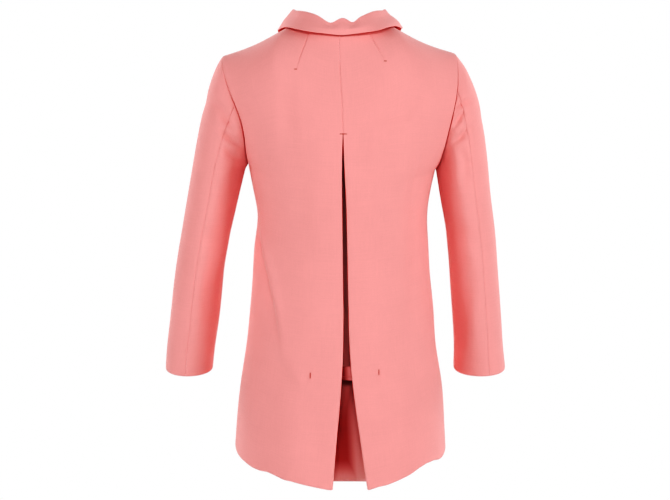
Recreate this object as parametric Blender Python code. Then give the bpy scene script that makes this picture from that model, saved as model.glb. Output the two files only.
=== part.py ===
"""A hip-length shirt jacket in coral cloth, filled out as if worn, with nobody in it.

Metres. +Z is up, the front faces -Y and the wearer's left is +X. The origin is the middle of the
neck opening, where the wearer's shoulders carry it. Every cut piece is one object: a wall of cloth
laid inwards from its right side, 0.3 mm short of its neighbours along the seams.
"""

import math
from collections import namedtuple

import bpy
import numpy as np
from mathutils import Vector
from mathutils.bvhtree import BVHTree

# ------------------------------------------------------------------ cloth
WALL = 0.002
SEAM_GAP = 0.0003
RIM_INSET = 0.6 * SEAM_GAP        # a little over half, so that two rims stay the gap apart where they bend
LAYER_GAP = 0.0004
MITRE_LIMIT = 0.55                # keeps a wall from growing too long at a sharp seam
DOUBLED_BACK = -0.2               # cosine past which two facings at a seam count as opposite layers
CLOTH_COLOUR = (0.82, 0.34, 0.30, 1.0)
BUTTON_COLOUR = (0.74, 0.28, 0.25, 1.0)

# ------------------------------------------------------------------ body: rows and columns
ARMHOLE_ROWS = 12
SKIRT_ROWS = 12
NECK_COLUMNS = 6
SHOULDER_COLUMNS = 7
TACK_ROW = 8                      # the centre back seam is closed down to this row

NECK_HALF = 0.078
NECK_POINT_HEIGHT = 0.004
BACK_NECK_HEIGHT = -0.006
FRONT_NECK_HEIGHT = -0.085
UNDERARM_ROW_HEIGHT = -0.265      # of the row from the underarm, at the centre lines
BACK_HEM_HEIGHT = -0.7895
FRONT_HEM_HEIGHT = -0.778
NECK_DROP = 1.25                  # how the neckline falls away from the neck points
SHOULDER_SAG = 0.002
SHOULDER_ROUND = 0.45             # share of the armhole over which the shoulder rounds off
CENTRE_HANDLE = 0.60              # how flat the body is across its centre
SIDE_HANDLE = 0.55                # and beside its side seam
HEM_CURVE = 1.7
FINE_STEPS = 160

Centre = namedtuple("Centre", "height back front")
CENTRES = [                       # depth of the body at its centre lines
    Centre(0.000, 0.077, 0.088),
    Centre(-0.050, 0.092, 0.092),
    Centre(-0.100, 0.107, 0.104),
    Centre(-0.150, 0.117, 0.122),
    Centre(-0.200, 0.121, 0.136),
    Centre(-0.260, 0.121, 0.141),
    Centre(-0.340, 0.119, 0.138),
    Centre(-0.440, 0.1235, 0.136),
    Centre(-0.560, 0.132, 0.140),
    Centre(-0.680, 0.142, 0.147),
    Centre(-0.800, 0.151, 0.153),
]

Side = namedtuple("Side", "height left right")
SIDES = [                         # half width of the body at its side seams
    Side(-0.240, 0.1640, 0.1690),
    Side(-0.290, 0.1545, 0.1580),
    Side(-0.330, 0.1485, 0.1535),
    Side(-0.380, 0.1538, 0.1556),
    Side(-0.430, 0.1573, 0.1585),
    Side(-0.505, 0.1634, 0.1662),
    Side(-0.560, 0.1693, 0.1700),
    Side(-0.635, 0.1808, 0.1818),
    Side(-0.700, 0.1878, 0.1866),
    Side(-0.760, 0.1922, 0.1900),
]

# ------------------------------------------------------------------ armholes
Armhole = namedtuple("Armhole", "tip pit back_depth front_depth back_seam front_seam side_hem")
ARMHOLES = {                      # heights, depths, and the sleeve seams' angles round the loop
    "left": Armhole(-0.0505, -0.2385, 0.060, 0.066, 84.0, 105.0, -0.749),
    "right": Armhole(-0.0455, -0.2445, 0.060, 0.066, 71.0, 105.0, -0.752),
}
BACK_SEAM_ROW = 6
FRONT_SEAM_ROW = 7

Loop = namedtuple("Loop", "angle left_back left_front right_back right_front splay")
LOOPS = [                         # half width at the armhole, from shoulder tip to underarm
    Loop(0.0, 0.2070, 0.2070, 0.1985, 0.1985, 2.4),
    Loop(50.0, 0.2030, 0.1960, 0.2032, 0.1950, 1.7),
    Loop(74.0, 0.1905, 0.1830, 0.2004, 0.1865, 1.2),
    Loop(101.0, 0.1742, 0.1720, 0.1911, 0.1785, 0.8),
    Loop(130.0, 0.1680, 0.1665, 0.1810, 0.1725, 0.4),
    Loop(180.0, 0.1640, 0.1640, 0.1690, 0.1690, 0.0),
]

# ------------------------------------------------------------------ pleat at the centre back
Pleat = namedtuple("Pleat", "height left right")
PLEATS = [                        # where the centre back seam and then the two folded edges run
    Pleat(-0.010, 0.0036, 0.0036),
    Pleat(-0.072, 0.0022, 0.0022),
    Pleat(-0.122, -0.0010, -0.0010),
    Pleat(-0.179, -0.0026, -0.0032),
    Pleat(-0.224, -0.0013, -0.0042),
    Pleat(-0.292, -0.0010, -0.0064),
    Pleat(-0.464, -0.0004, -0.0100),
    Pleat(-0.577, 0.0006, -0.0153),
    Pleat(-0.672, 0.0068, -0.0275),
    Pleat(-0.790, 0.0150, -0.0457),
]
PLEAT_ROUND = 0.003
FOLD_STEPS = 5
RETURN_COLUMNS = 4
PLEAT_ROUND_ROWS = 4              # rows below the tack over which the folds become fully round
RETURN_ENDS = {"left": 0.078, "right": -0.088}
UNDERLAY_INSET = 0.0005
UNDERLAY_COLUMNS = 10
UNDERLAY_DEPTH = 0.042            # how far it sinks away from the returns in the middle
UNDERLAY_TOP_DEPTH = 0.45         # share of that just below the tack
UNDERLAY_FULL_ROWS = 5            # rows below the tack over which the depth becomes full
UNDERLAY_LAP = 0.006
UNDERLAY_SLOPE = 0.072
UNDERLAY_SHORT = 0.008
STAY_ENDS = (0.054, -0.066)
STAY_COLUMNS = 8
STAY_TOP = -0.5795
STAY_HEIGHT = 0.0245
STAY_WALL = 0.0015

# ------------------------------------------------------------------ front edges and buttons
LAP = 0.018
LAP_SETBACK = 0.0032
LAP_BLEND = (0.022, 0.060)
BUTTON_RADIUS = 0.010
BUTTON_THICKNESS = 0.0035
BUTTON_SEAT = 0.0004
BUTTON_HEIGHTS = [-0.115 - 0.095 * step for step in range(5)]
BUTTON_HOLE_RADIUS = 0.0010
BUTTON_HOLE_PLACE = 0.0020        # of each hole's middle, across and up
BUTTON_HOLE_SIDES = 10

BUTTON_SIDES = 24
ButtonRing = namedtuple("ButtonRing", "radius level")
BUTTON_PROFILE = [                # shares of the radius and the thickness, from the face to the back
    ButtonRing(0.62, -0.30),
    ButtonRing(0.74, -0.32),
    ButtonRing(0.82, -0.50),
    ButtonRing(0.94, -0.42),
    ButtonRing(1.00, -0.10),
    ButtonRing(1.00, 0.20),
    ButtonRing(0.90, 0.50),
]

# ------------------------------------------------------------------ sleeves
CAP_ROWS = 5
CAP_END_STEP = 0.010              # the cap arrives along this first stretch of the tube
CAP_CROWDING = 1.3                # the rows stand closer together near the armhole
SLEEVE_QUIET_ROWS = 3.0           # the sleeve's folds start below these rows
SLEEVE_FOLD_START = 0.030         # and this far in front of its middle
SLEEVE_FOLD_BLEND = 0.050
CAP_START_PULL = 0.62
CAP_END_PULL = 0.85
Cap = namedtuple("Cap", "angle out back down")
CAPS = [                          # which way the sleeve leaves the armhole
    Cap(0.0, 0.66, 0.00, -0.75),
    Cap(90.0, 0.45, 0.28, -0.85),
    Cap(180.0, 0.22, 0.00, -0.97),
    Cap(270.0, 0.45, -0.28, -0.85),
    Cap(360.0, 0.66, 0.00, -0.75),
]

Ring = namedtuple("Ring", "height left left_width right right_width depth forward tilt")
RINGS = [                         # sections of the two sleeves below the underarm
    Ring(-0.2518, 0.2176, 0.0470, 0.2152, 0.0460, 0.0545, 0.000, 0.0),
    Ring(-0.3054, 0.2288, 0.0454, 0.2226, 0.0446, 0.0535, 0.000, 2.0),
    Ring(-0.3592, 0.2398, 0.0440, 0.2308, 0.0437, 0.0525, 0.000, 4.0),
    Ring(-0.4141, 0.2505, 0.0432, 0.2366, 0.0430, 0.0510, -0.004, 6.5),
    Ring(-0.4693, 0.2580, 0.0438, 0.2413, 0.0434, 0.0495, -0.010, 9.0),
    Ring(-0.5260, 0.2650, 0.0440, 0.2463, 0.0437, 0.0480, -0.018, 12.0),
    Ring(-0.5740, 0.2722, 0.0436, 0.2500, 0.0446, 0.0460, -0.028, 14.5),
    Ring(-0.6120, 0.2765, 0.0431, 0.2525, 0.0470, 0.0450, -0.036, 16.5),
]

# ------------------------------------------------------------------ collar
STAND_ROWS = 2
ROLL_RADIUS = 0.003
ROLL_STEPS = 4
FALL_STEPS = 6
LIFT_PASSES = 3
LEAF_CLEARANCE = 0.0055           # from the body's right side to the leaf's
Collar = namedtuple("Collar", "turn rise lean edge_out edge_back edge_height")
COLLARS = [                       # turn: 0 at the centre back, 1 at the neck points, 2 at the front
    Collar(0.00, 0.0150, 0.0030, 0.000, 0.0900, -0.0135),
    Collar(0.20, 0.0140, 0.0025, 0.034, 0.0875, -0.0100),
    Collar(0.50, 0.0215, 0.0015, 0.077, 0.0660, -0.0045),
    Collar(0.75, 0.0235, 0.0010, 0.104, 0.0340, -0.0020),
    Collar(1.00, 0.0225, 0.0010, 0.115, -0.0020, -0.0075),
    Collar(1.25, 0.0220, 0.0015, 0.116, -0.0420, -0.0150),
    Collar(1.60, 0.0200, 0.0030, 0.104, -0.0900, -0.0570),
    Collar(2.00, 0.0150, 0.0050, 0.060, -0.1300, -0.1320),
]

# ------------------------------------------------------------------ the largest folds
FOLD_END = 0.08                   # how little of a fold is left at its ends
FoldFree = namedtuple("FoldFree", "centre centre_blend side side_blend")
FOLD_FREE = FoldFree(0.030, 0.050, 0.0025, 0.020)    # no fold runs into the centre or the side seams
Fold = namedtuple("Fold", "piece height width path")
FOLDS = [                         # raised (+) or sunk (-) along a path of (x, z) points
    Fold("back_left", 0.0045, 0.020, ((0.146, -0.320), (0.132, -0.380), (0.116, -0.450), (0.098, -0.545))),
    Fold("back_left", -0.0040, 0.024, ((0.156, -0.400), (0.146, -0.480), (0.140, -0.560))),
    Fold("back_left", 0.0030, 0.030, ((0.075, -0.560), (0.085, -0.660), (0.095, -0.780))),
    Fold("back_right", -0.0035, 0.018, ((-0.147, -0.215), (-0.140, -0.270), (-0.128, -0.380),
                                        (-0.126, -0.470))),
    Fold("back_right", 0.0030, 0.030, ((-0.100, -0.520), (-0.112, -0.640), (-0.120, -0.775))),
    Fold("front_left", -0.0040, 0.026, ((0.135, -0.230), (0.128, -0.330), (0.132, -0.430))),
    Fold("front_left", 0.0035, 0.030, ((0.095, -0.470), (0.110, -0.620), (0.120, -0.770))),
    Fold("front_right", -0.0040, 0.026, ((-0.138, -0.240), (-0.130, -0.330), (-0.128, -0.450))),
    Fold("front_right", 0.0035, 0.030, ((-0.090, -0.440), (-0.104, -0.600), (-0.118, -0.770))),
    Fold("sleeve_left", -0.0040, 0.016, ((0.200, -0.140), (0.225, -0.136), (0.246, -0.133))),
    Fold("sleeve_left", -0.0045, 0.018, ((0.196, -0.350), (0.222, -0.366), (0.250, -0.372))),
    Fold("sleeve_right", -0.0045, 0.016, ((-0.204, -0.150), (-0.222, -0.160), (-0.246, -0.170))),
    Fold("sleeve_right", -0.0045, 0.018, ((-0.190, -0.340), (-0.214, -0.362), (-0.244, -0.372))),
]


# ------------------------------------------------------------------ smooth readings of the tables
def natural_curve(places, values):
    """A curve with no corners through the given points, straight beyond both ends."""
    places = np.asarray(places, float)
    values = np.asarray(values, float)
    if places[0] > places[-1]:
        places, values = places[::-1], values[::-1]
    steps = np.diff(places)
    slopes = np.diff(values) / steps
    count = len(places)
    matrix = np.eye(count)
    right = np.zeros(count)
    for i in range(1, count - 1):
        matrix[i, i - 1:i + 2] = steps[i - 1], 2.0 * (steps[i - 1] + steps[i]), steps[i]
        right[i] = 6.0 * (slopes[i] - slopes[i - 1])
    bends = np.linalg.solve(matrix, right)

    def read(at):
        at = np.clip(np.asarray(at, float), places[0], places[-1])
        i = np.clip(np.searchsorted(places, at) - 1, 0, count - 2)
        ahead = places[i + 1] - at
        behind = at - places[i]
        return ((bends[i] * ahead ** 3 + bends[i + 1] * behind ** 3) / (6.0 * steps[i])
                + (values[i] / steps[i] - bends[i] * steps[i] / 6.0) * ahead
                + (values[i + 1] / steps[i] - bends[i + 1] * steps[i] / 6.0) * behind)

    return read


def column(table, place, value):
    """The smooth reading of one named column of a table against another."""
    return natural_curve([getattr(row, place) for row in table], [getattr(row, value) for row in table])


def smooth_step(value):
    value = np.clip(value, 0.0, 1.0)
    return value * value * (3.0 - 2.0 * value)


def points(x, y, z):
    return np.stack(np.broadcast_arrays(x, y, z), axis=-1).astype(float)


SIGNS = {"left": 1.0, "right": -1.0}
FACES = {"back": 1.0, "front": -1.0}
DEPTH = {face: column(CENTRES, "height", face) for face in FACES}
HALF_WIDTH = {side: column(SIDES, "height", side) for side in SIGNS}
PLEAT_EDGE = {side: column(PLEATS, "height", side) for side in SIGNS}
LOOP_WIDTH = {(side, face): column(LOOPS, "angle", side + "_" + face)
              for side in SIGNS for face in FACES}
SPLAY = column(LOOPS, "angle", "splay")


# ------------------------------------------------------------------ body surface
def loop_angle(side, face, row):
    """Angle round the armhole, 0 at the shoulder tip and 180 at the underarm, at an armhole row."""
    hole = ARMHOLES[side]
    seam_row, seam_angle = BACK_SEAM_ROW, hole.back_seam
    if face == "front":
        seam_row, seam_angle = FRONT_SEAM_ROW, hole.front_seam
    return natural_curve([0.0, seam_row, ARMHOLE_ROWS], [0.0, seam_angle, 180.0])(row)


def armhole_point(side, face, row):
    hole = ARMHOLES[side]
    angle = loop_angle(side, face, row)
    depth = hole.back_depth if face == "back" else hole.front_depth
    return points(SIGNS[side] * LOOP_WIDTH[side, face](angle),
                  FACES[face] * depth * np.sin(np.radians(angle)),
                  hole.tip + (hole.pit - hole.tip) * (1.0 - np.cos(np.radians(angle))) / 2.0)


def edge_point(side, face, row):
    """The outer edge of a body panel: round the armhole, then down the side seam."""
    if row <= ARMHOLE_ROWS:
        return armhole_point(side, face, row)
    hole = ARMHOLES[side]
    height = hole.pit + (hole.side_hem - hole.pit) * (row - ARMHOLE_ROWS) / SKIRT_ROWS
    return points(SIGNS[side] * HALF_WIDTH[side](height), 0.0, height)


def centre_height(face, row):
    neck, hem = BACK_NECK_HEIGHT, BACK_HEM_HEIGHT
    if face == "front":
        neck, hem = FRONT_NECK_HEIGHT, FRONT_HEM_HEIGHT
    if row <= ARMHOLE_ROWS:
        return neck + (UNDERARM_ROW_HEIGHT - neck) * row / ARMHOLE_ROWS
    return UNDERARM_ROW_HEIGHT + (hem - UNDERARM_ROW_HEIGHT) * (row - ARMHOLE_ROWS) / SKIRT_ROWS


def centre_point(side, face, row):
    """The inner edge of a body panel: the centre seam and the folded pleat edge, or the centre front."""
    height = centre_height(face, row)
    across = 0.0
    if face == "back" and row <= TACK_ROW:
        across = (PLEAT_EDGE["left"](height) + PLEAT_EDGE["right"](height)) / 2.0
    elif face == "back":
        across = PLEAT_EDGE[side](height) + SIGNS[side] * fold_bulge(row)
    return points(across, FACES[face] * DEPTH[face](height), height)


def fold_bulge(row):
    """How far a pleat fold rounds out past the flat of the panel."""
    return PLEAT_ROUND * min(1.0, (row - TACK_ROW) / PLEAT_ROUND_ROWS)


def row_across(side, face, row, share):
    """One row of the body, from its centre (share 0) to its outer edge (share 1), seen from above."""
    start = centre_point(side, face, row)
    end = edge_point(side, face, row)
    angle = loop_angle(side, face, row) if row <= ARMHOLE_ROWS else 180.0
    rise = start[1] - end[1]
    handle_1 = start[:2] + [CENTRE_HANDLE * (end[0] - start[0]), 0.0]
    handle_2 = end[:2] + [-SIGNS[side] * SPLAY(angle) * SIDE_HANDLE * abs(rise), SIDE_HANDLE * rise]
    share = np.asarray(share, float)[..., None]
    back = 1.0 - share
    return (back ** 3 * start[:2] + 3.0 * back ** 2 * share * handle_1
            + 3.0 * back * share ** 2 * handle_2 + share ** 3 * end[:2])


NECK_SHARE = NECK_COLUMNS / (NECK_COLUMNS + SHOULDER_COLUMNS)


def top_edge(side, face, share):
    """The neckline, then the shoulder seam."""
    share = np.asarray(share, float)
    turn = np.clip(share / NECK_SHARE, 0.0, 1.0)
    neck = centre_point(side, face, 0)
    round_neck = math.pi / 2.0 * turn
    across = neck[0] + (SIGNS[side] * NECK_HALF - neck[0]) * np.sin(round_neck)
    height = NECK_POINT_HEIGHT + (neck[2] - NECK_POINT_HEIGHT) * np.cos(round_neck) ** NECK_DROP
    tip = edge_point(side, face, 0)
    along = np.clip((share - NECK_SHARE) / (1.0 - NECK_SHARE), 0.0, 1.0)
    across = across + (tip[0] - SIGNS[side] * NECK_HALF) * along
    height = height + (tip[2] - NECK_POINT_HEIGHT) * along - SHOULDER_SAG * np.sin(math.pi * along)
    return points(across, neck[1] * np.cos(round_neck), height)


def body_row(side, face, row, share):
    """The right side of a body panel along one row."""
    share = np.asarray(share, float)
    flat = row_across(side, face, row, share)
    centre, edge = centre_height(face, row), edge_point(side, face, row)[2]
    low = centre + (edge - centre) * share ** HEM_CURVE
    if row >= ARMHOLE_ROWS:
        return points(flat[..., 0], flat[..., 1], low)
    fall = row / ARMHOLE_ROWS
    top = top_edge(side, face, share)
    hold = 1.0 - math.sin(math.pi / 2.0 * min(1.0, fall / SHOULDER_ROUND))
    flat = flat + hold * (top[..., :2] - row_across(side, face, 0, share))
    over = smooth_step(share / NECK_SHARE)
    high = (top[..., 2] + (1.0 - over) * (centre - centre_height(face, 0))
            + over * (edge - edge_point(side, face, 0)[2]))
    blend = smooth_step(fall)
    return points(flat[..., 0], flat[..., 1], (1.0 - blend) * high + blend * low)


def row_at(side, face, row, across):
    """The row's point at a given x, read along the smooth row."""
    share = np.linspace(0.0, 1.0, FINE_STEPS + 1)
    line = body_row(side, face, row, share)
    order = np.argsort(line[:, 0])
    return points(across, np.interp(across, line[order, 0], line[order, 1]),
                  np.interp(across, line[order, 0], line[order, 2]))


def panel_shares():
    neck = np.linspace(0.0, NECK_SHARE, NECK_COLUMNS + 1)
    return np.concatenate([neck, np.linspace(NECK_SHARE, 1.0, SHOULDER_COLUMNS + 1)[1:]])


def panel_rows():
    return list(range(ARMHOLE_ROWS + SKIRT_ROWS + 1))


# ------------------------------------------------------------------ folds
def along_path(path, x, z):
    """Distance from each (x, z) to a path, and how far along the path the nearest place is."""
    path = np.asarray(path, float)
    lengths = np.linalg.norm(np.diff(path, axis=0), axis=1)
    before = np.concatenate([[0.0], np.cumsum(lengths)[:-1]])
    best = np.full(np.shape(x), np.inf)
    place = np.zeros(np.shape(x))
    for start, end, length, passed in zip(path[:-1], path[1:], lengths, before):
        way = (end - start) / length
        run = np.clip((x - start[0]) * way[0] + (z - start[1]) * way[1], 0.0, length)
        away = np.hypot(x - start[0] - run * way[0], z - start[1] - run * way[1])
        place = np.where(away < best, (passed + run) / lengths.sum(), place)
        best = np.minimum(best, away)
    return best, place


def fold_height(piece, x, z):
    """How far the cloth stands out or sinks in at each place, all the folds of a piece together."""
    total = np.zeros(np.shape(x))
    for fold in FOLDS:
        if fold.piece == piece:
            away, place = along_path(fold.path, x, z)
            fade = np.sin(math.pi * (FOLD_END + (1.0 - 2.0 * FOLD_END) * place))
            total = total + fold.height * np.exp(-(away / fold.width) ** 2) * fade
    return total


# ------------------------------------------------------------------ cloth as a wall
class Cloth:
    """One cut piece: points on its right side, and the quads between them, facing out."""

    def __init__(self, name, wall=WALL):
        self.name = name
        self.wall = wall
        self.points = []
        self.quads = []
        self.set_ways = {}        # where the wrong side is placed by hand
        self.neckline = []

    def add_points(self, grid):
        start = len(self.points)
        flat = np.asarray(grid, float).reshape(-1, 3)
        self.points.extend(flat)
        return np.arange(start, start + len(flat)).reshape(np.shape(grid)[:-1])

    def add_quads(self, index, turned):
        for r in range(index.shape[0] - 1):
            for c in range(index.shape[1] - 1):
                quad = [index[r, c], index[r + 1, c], index[r + 1, c + 1], index[r, c + 1]]
                self.quads.append(quad[::-1] if turned else quad)

    def add_grid(self, grid, turned):
        index = self.add_points(grid)
        self.add_quads(index, turned)
        return index

    def normals(self):
        """Area-weighted normals at the points."""
        place = np.asarray(self.points)
        quads = np.asarray(self.quads)
        facing = np.cross(place[quads[:, 2]] - place[quads[:, 0]], place[quads[:, 3]] - place[quads[:, 1]])
        total = np.zeros_like(place)
        for corner in range(4):
            np.add.at(total, quads[:, corner], facing)
        return total / np.maximum(np.linalg.norm(total, axis=1, keepdims=True), 1e-12)

    def rim(self):
        """Directed edges that belong to one quad only."""
        sides = {}
        for quad in self.quads:
            for a, b in zip(quad, quad[1:] + quad[:1]):
                sides[a, b] = True
        return [edge for edge in sides if (edge[1], edge[0]) not in sides]

    def move_out(self, distance):
        place = np.asarray(self.points) + self.normals() * np.asarray(distance)[:, None]
        self.points = list(place)


def place_key(place):
    return tuple(np.round(place, 6))


def beside_each_other(mine, others):
    """The facings that lead on from mine without doubling back."""
    beside = [mine]
    for _ in others:
        beside = [other for other in others if any(other @ near > DOUBLED_BACK for near in beside)]
    return beside


def mitres(cloths):
    """For each piece, the way its wall goes in at each point, shared with its neighbours at the seams."""
    met = {}
    facing = {cloth.name: cloth.normals() for cloth in cloths}
    for cloth in cloths:
        for index in {i for edge in cloth.rim() for i in edge}:
            met.setdefault(place_key(cloth.points[index]), []).append(facing[cloth.name][index])
    ways = {}
    for cloth in cloths:
        own = facing[cloth.name].copy()
        for index in {i for edge in cloth.rim() for i in edge}:
            beside = beside_each_other(facing[cloth.name][index], met[place_key(cloth.points[index])])
            shared = np.sum(beside, axis=0)
            shared /= np.linalg.norm(shared)
            own[index] = shared / max(MITRE_LIMIT, np.mean([shared @ other for other in beside]))
        for index, way in cloth.set_ways.items():
            own[index] = way
        ways[cloth.name] = own
    return ways


def wall_mesh(cloth, way):
    """A closed wall: the right side, the wrong side and the rim, drawn in a little from the seams."""
    place = np.asarray(cloth.points)
    middle = [place[quad].mean(axis=0) for quad in cloth.quads]
    rim = cloth.rim()
    on_rim = {i for edge in rim for i in edge}
    inward = {i: np.zeros(3) for i in on_rim}
    for quad, centre in zip(cloth.quads, middle):
        for i in quad:
            if i in on_rim:
                step = centre - place[i]
                inward[i] += step / np.linalg.norm(step)
    facing = cloth.normals()
    outer = place.copy()
    for i, step in inward.items():
        step = step - facing[i] * (step @ facing[i])
        outer[i] += step / np.linalg.norm(step) * RIM_INSET
    inner = outer - way * cloth.wall
    count = len(outer)
    faces = []
    for a, b, c, d in cloth.quads:
        if np.linalg.norm(place[a] - place[c]) > np.linalg.norm(place[b] - place[d]):
            a, b, c, d = b, c, d, a
        faces += [(int(a), int(b), int(c)), (int(a), int(c), int(d))]
    faces += [tuple(i + count for i in reversed(face)) for face in faces]
    for a, b in rim:
        a, b = int(a), int(b)
        if place_key(place[a]) < place_key(place[b]):    # two pieces split a shared rim the same way
            faces += [(b, a, b + count), (a, a + count, b + count)]
        else:
            faces += [(b, a, a + count), (b, a + count, b + count)]
    mesh = bpy.data.meshes.new(cloth.name)
    mesh.from_pydata([tuple(p) for p in np.concatenate([outer, inner])], [], faces)
    mesh.validate()
    mesh.shade_smooth()
    mesh.set_sharp_from_angle(angle=math.radians(50.0))
    return mesh


# ------------------------------------------------------------------ the cut pieces
def body_panel(side, face, name):
    """A back or front panel, with its folds."""
    cloth = Cloth(name)
    shares = panel_shares()
    grid = np.array([body_row(side, face, row, shares) for row in panel_rows()])
    turned = SIGNS[side] * FACES[face] > 0
    if face == "front":
        lap = np.array([[lap_point(side, row, reach) for reach in (LAP, LAP / 2.0)] for row in panel_rows()])
        grid = np.concatenate([lap, grid], axis=1)
    index = cloth.add_grid(grid, turned)
    cloth.neckline = index[0, 2 if face == "front" else 0:][:NECK_COLUMNS + 1]
    if face == "back":
        add_return(cloth, side, index, turned)
    place = np.asarray(cloth.points)
    quiet = place[:, 0] * SIGNS[side]
    to_side = HALF_WIDTH[side](place[:, 2]) - quiet
    ease = (smooth_step((quiet - FOLD_FREE.centre) / FOLD_FREE.centre_blend)
            * smooth_step((to_side - FOLD_FREE.side) / FOLD_FREE.side_blend))
    distance = fold_height(name, place[:, 0], place[:, 2]) * ease
    if face == "front" and side == "left":
        low, high = LAP_BLEND
        distance = distance - LAP_SETBACK * smooth_step((high - quiet) / (high - low))
    distance[index.size:] = 0.0        # the return stays plain
    cloth.move_out(distance)
    return cloth


def lap_point(side, row, reach):
    """Past the centre front each edge follows the other front's curve."""
    other = "right" if side == "left" else "left"
    return row_at(other, "front", row, -SIGNS[side] * reach)


def add_return(cloth, side, index, turned):
    """Below the tack the back turns under at its centre edge and runs outwards again, inside."""
    rows = panel_rows()[TACK_ROW:]
    turns = np.radians(np.linspace(0.0, 180.0, FOLD_STEPS + 1))
    lines = []
    inner_lines = []
    for row in rows:
        edge = centre_point(side, "back", row)
        turn = points(edge[0] - SIGNS[side] * fold_bulge(row) * np.sin(turns),
                      edge[1] - PLEAT_ROUND * (1.0 - np.cos(turns)), edge[2])
        full = fold_bulge(row) / PLEAT_ROUND
        inside = (1.0 - full) * WALL - full * (PLEAT_ROUND - WALL) * np.sin(turns)
        inner = points(edge[0] + SIGNS[side] * inside,
                       edge[1] - PLEAT_ROUND + (PLEAT_ROUND - WALL) * np.cos(turns), edge[2])
        across = np.linspace(edge[0], RETURN_ENDS[side], RETURN_COLUMNS + 1)[1:]
        under = row_at(side, "back", row, across) - [0.0, 2.0 * PLEAT_ROUND, 0.0]
        lines.append(np.concatenate([turn[1:], under]))
        inner_lines.append(inner)
    fresh = cloth.add_points(np.array(lines))
    shared = np.concatenate([index[TACK_ROW:, :1], fresh], axis=1)
    cloth.add_quads(shared, not turned)
    for line, inner in zip(shared[:, :FOLD_STEPS + 1], inner_lines):
        for i, place in zip(line, inner):
            cloth.set_ways[int(i)] = (cloth.points[i] - place) / WALL


def back_line(row, across):
    """The two backs' right side at one row, taken straight across the open pleat."""
    left, right = centre_point("left", "back", row), centre_point("right", "back", row)
    return np.where((across > left[0])[:, None], row_at("left", "back", row, across),
                    np.where((across < right[0])[:, None], row_at("right", "back", row, across),
                             points(across, left[1], left[2])))


def pleat_underlay():
    """The panel behind the pleat: joined to the two returns' ends, with a valley between them."""
    cloth = Cloth("pleat_underlay")
    ends = RETURN_ENDS["left"] - UNDERLAY_INSET, RETURN_ENDS["right"] + UNDERLAY_INSET
    across = np.linspace(*ends, UNDERLAY_COLUMNS + 1)
    inside = np.minimum(ends[0] - across, across - ends[1])
    valley = UNDERLAY_DEPTH * smooth_step((inside - UNDERLAY_LAP) / UNDERLAY_SLOPE)
    rows = [float(row) for row in panel_rows()[TACK_ROW:]]
    rows[-1] -= UNDERLAY_SHORT / (centre_height("back", rows[-2]) - centre_height("back", rows[-1]))
    lines = []
    for row in rows:
        opened = smooth_step((row - TACK_ROW) / UNDERLAY_FULL_ROWS)
        sink = valley * (UNDERLAY_TOP_DEPTH + (1.0 - UNDERLAY_TOP_DEPTH) * opened)
        lines.append(back_line(row, across) - points(0.0, 2.0 * PLEAT_ROUND + LAYER_GAP + sink, 0.0))
    cloth.add_grid(np.array(lines), False)
    return cloth


def pleat_stay():
    """The strap that keeps the pleat from spreading, tacked inside both backs."""
    cloth = Cloth("pleat_stay", STAY_WALL)
    across = np.linspace(*STAY_ENDS, STAY_COLUMNS + 1)
    rows = np.array(panel_rows()[TACK_ROW:], float)
    heights = np.array([centre_height("back", row) for row in rows])
    lines = []
    for drop in (0.0, STAY_HEIGHT / 2.0, STAY_HEIGHT):
        row = np.interp(-(STAY_TOP - drop), -heights, rows)
        line = back_line(row, across)
        line[:, 1] -= 2.0 * PLEAT_ROUND + LAYER_GAP
        line[:, 2] = STAY_TOP - drop
        lines.append(line)
    cloth.add_grid(np.array(lines), False)
    return cloth


def ring_point(side, height, angle):
    """A point on the sleeve's right side below the underarm; angle 0 is outwards and 90 is the back."""
    read = {name: float(column(RINGS, "height", name)(height)) for name in Ring._fields[1:]}
    tilt = math.radians(read["tilt"])
    out = read[side + "_width"] * np.cos(np.radians(angle))
    back = read["depth"] * np.sin(np.radians(angle))
    return points(SIGNS[side] * (read[side] + out), read["forward"] + back * math.cos(tilt),
                  height - back * math.sin(tilt))


def cap_point(side, face, row, share):
    """A point between the armhole and the first ring of the sleeve."""
    angle = float(loop_angle(side, face, row))
    angle = angle if face == "back" else 360.0 - angle
    start = armhole_point(side, face, row)
    end = ring_point(side, RINGS[0].height, angle)
    below = ring_point(side, RINGS[0].height - CAP_END_STEP, angle)
    way = points(*[column(CAPS, "angle", name)(angle) for name in ("out", "back", "down")])
    way = way * [SIGNS[side], 1.0, 1.0] / np.linalg.norm(way)
    reach = np.linalg.norm(end - start)
    leave = way * reach * CAP_START_PULL
    arrive = (below - end) / np.linalg.norm(below - end) * reach * CAP_END_PULL
    t = share
    return ((2 * t ** 3 - 3 * t ** 2 + 1) * start + (t ** 3 - 2 * t ** 2 + t) * leave
            + (3 * t ** 2 - 2 * t ** 3) * end + (t ** 3 - t ** 2) * arrive)


def sleeve_line(side, face, row):
    """One line of points down the sleeve from the armhole to the cuff."""
    angle = float(loop_angle(side, face, row))
    angle = angle if face == "back" else 360.0 - angle
    cap = [cap_point(side, face, row, (step / CAP_ROWS) ** CAP_CROWDING) for step in range(CAP_ROWS)]
    tube = [ring_point(side, ring.height, angle) for ring in RINGS]
    return np.array(cap + tube)


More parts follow.
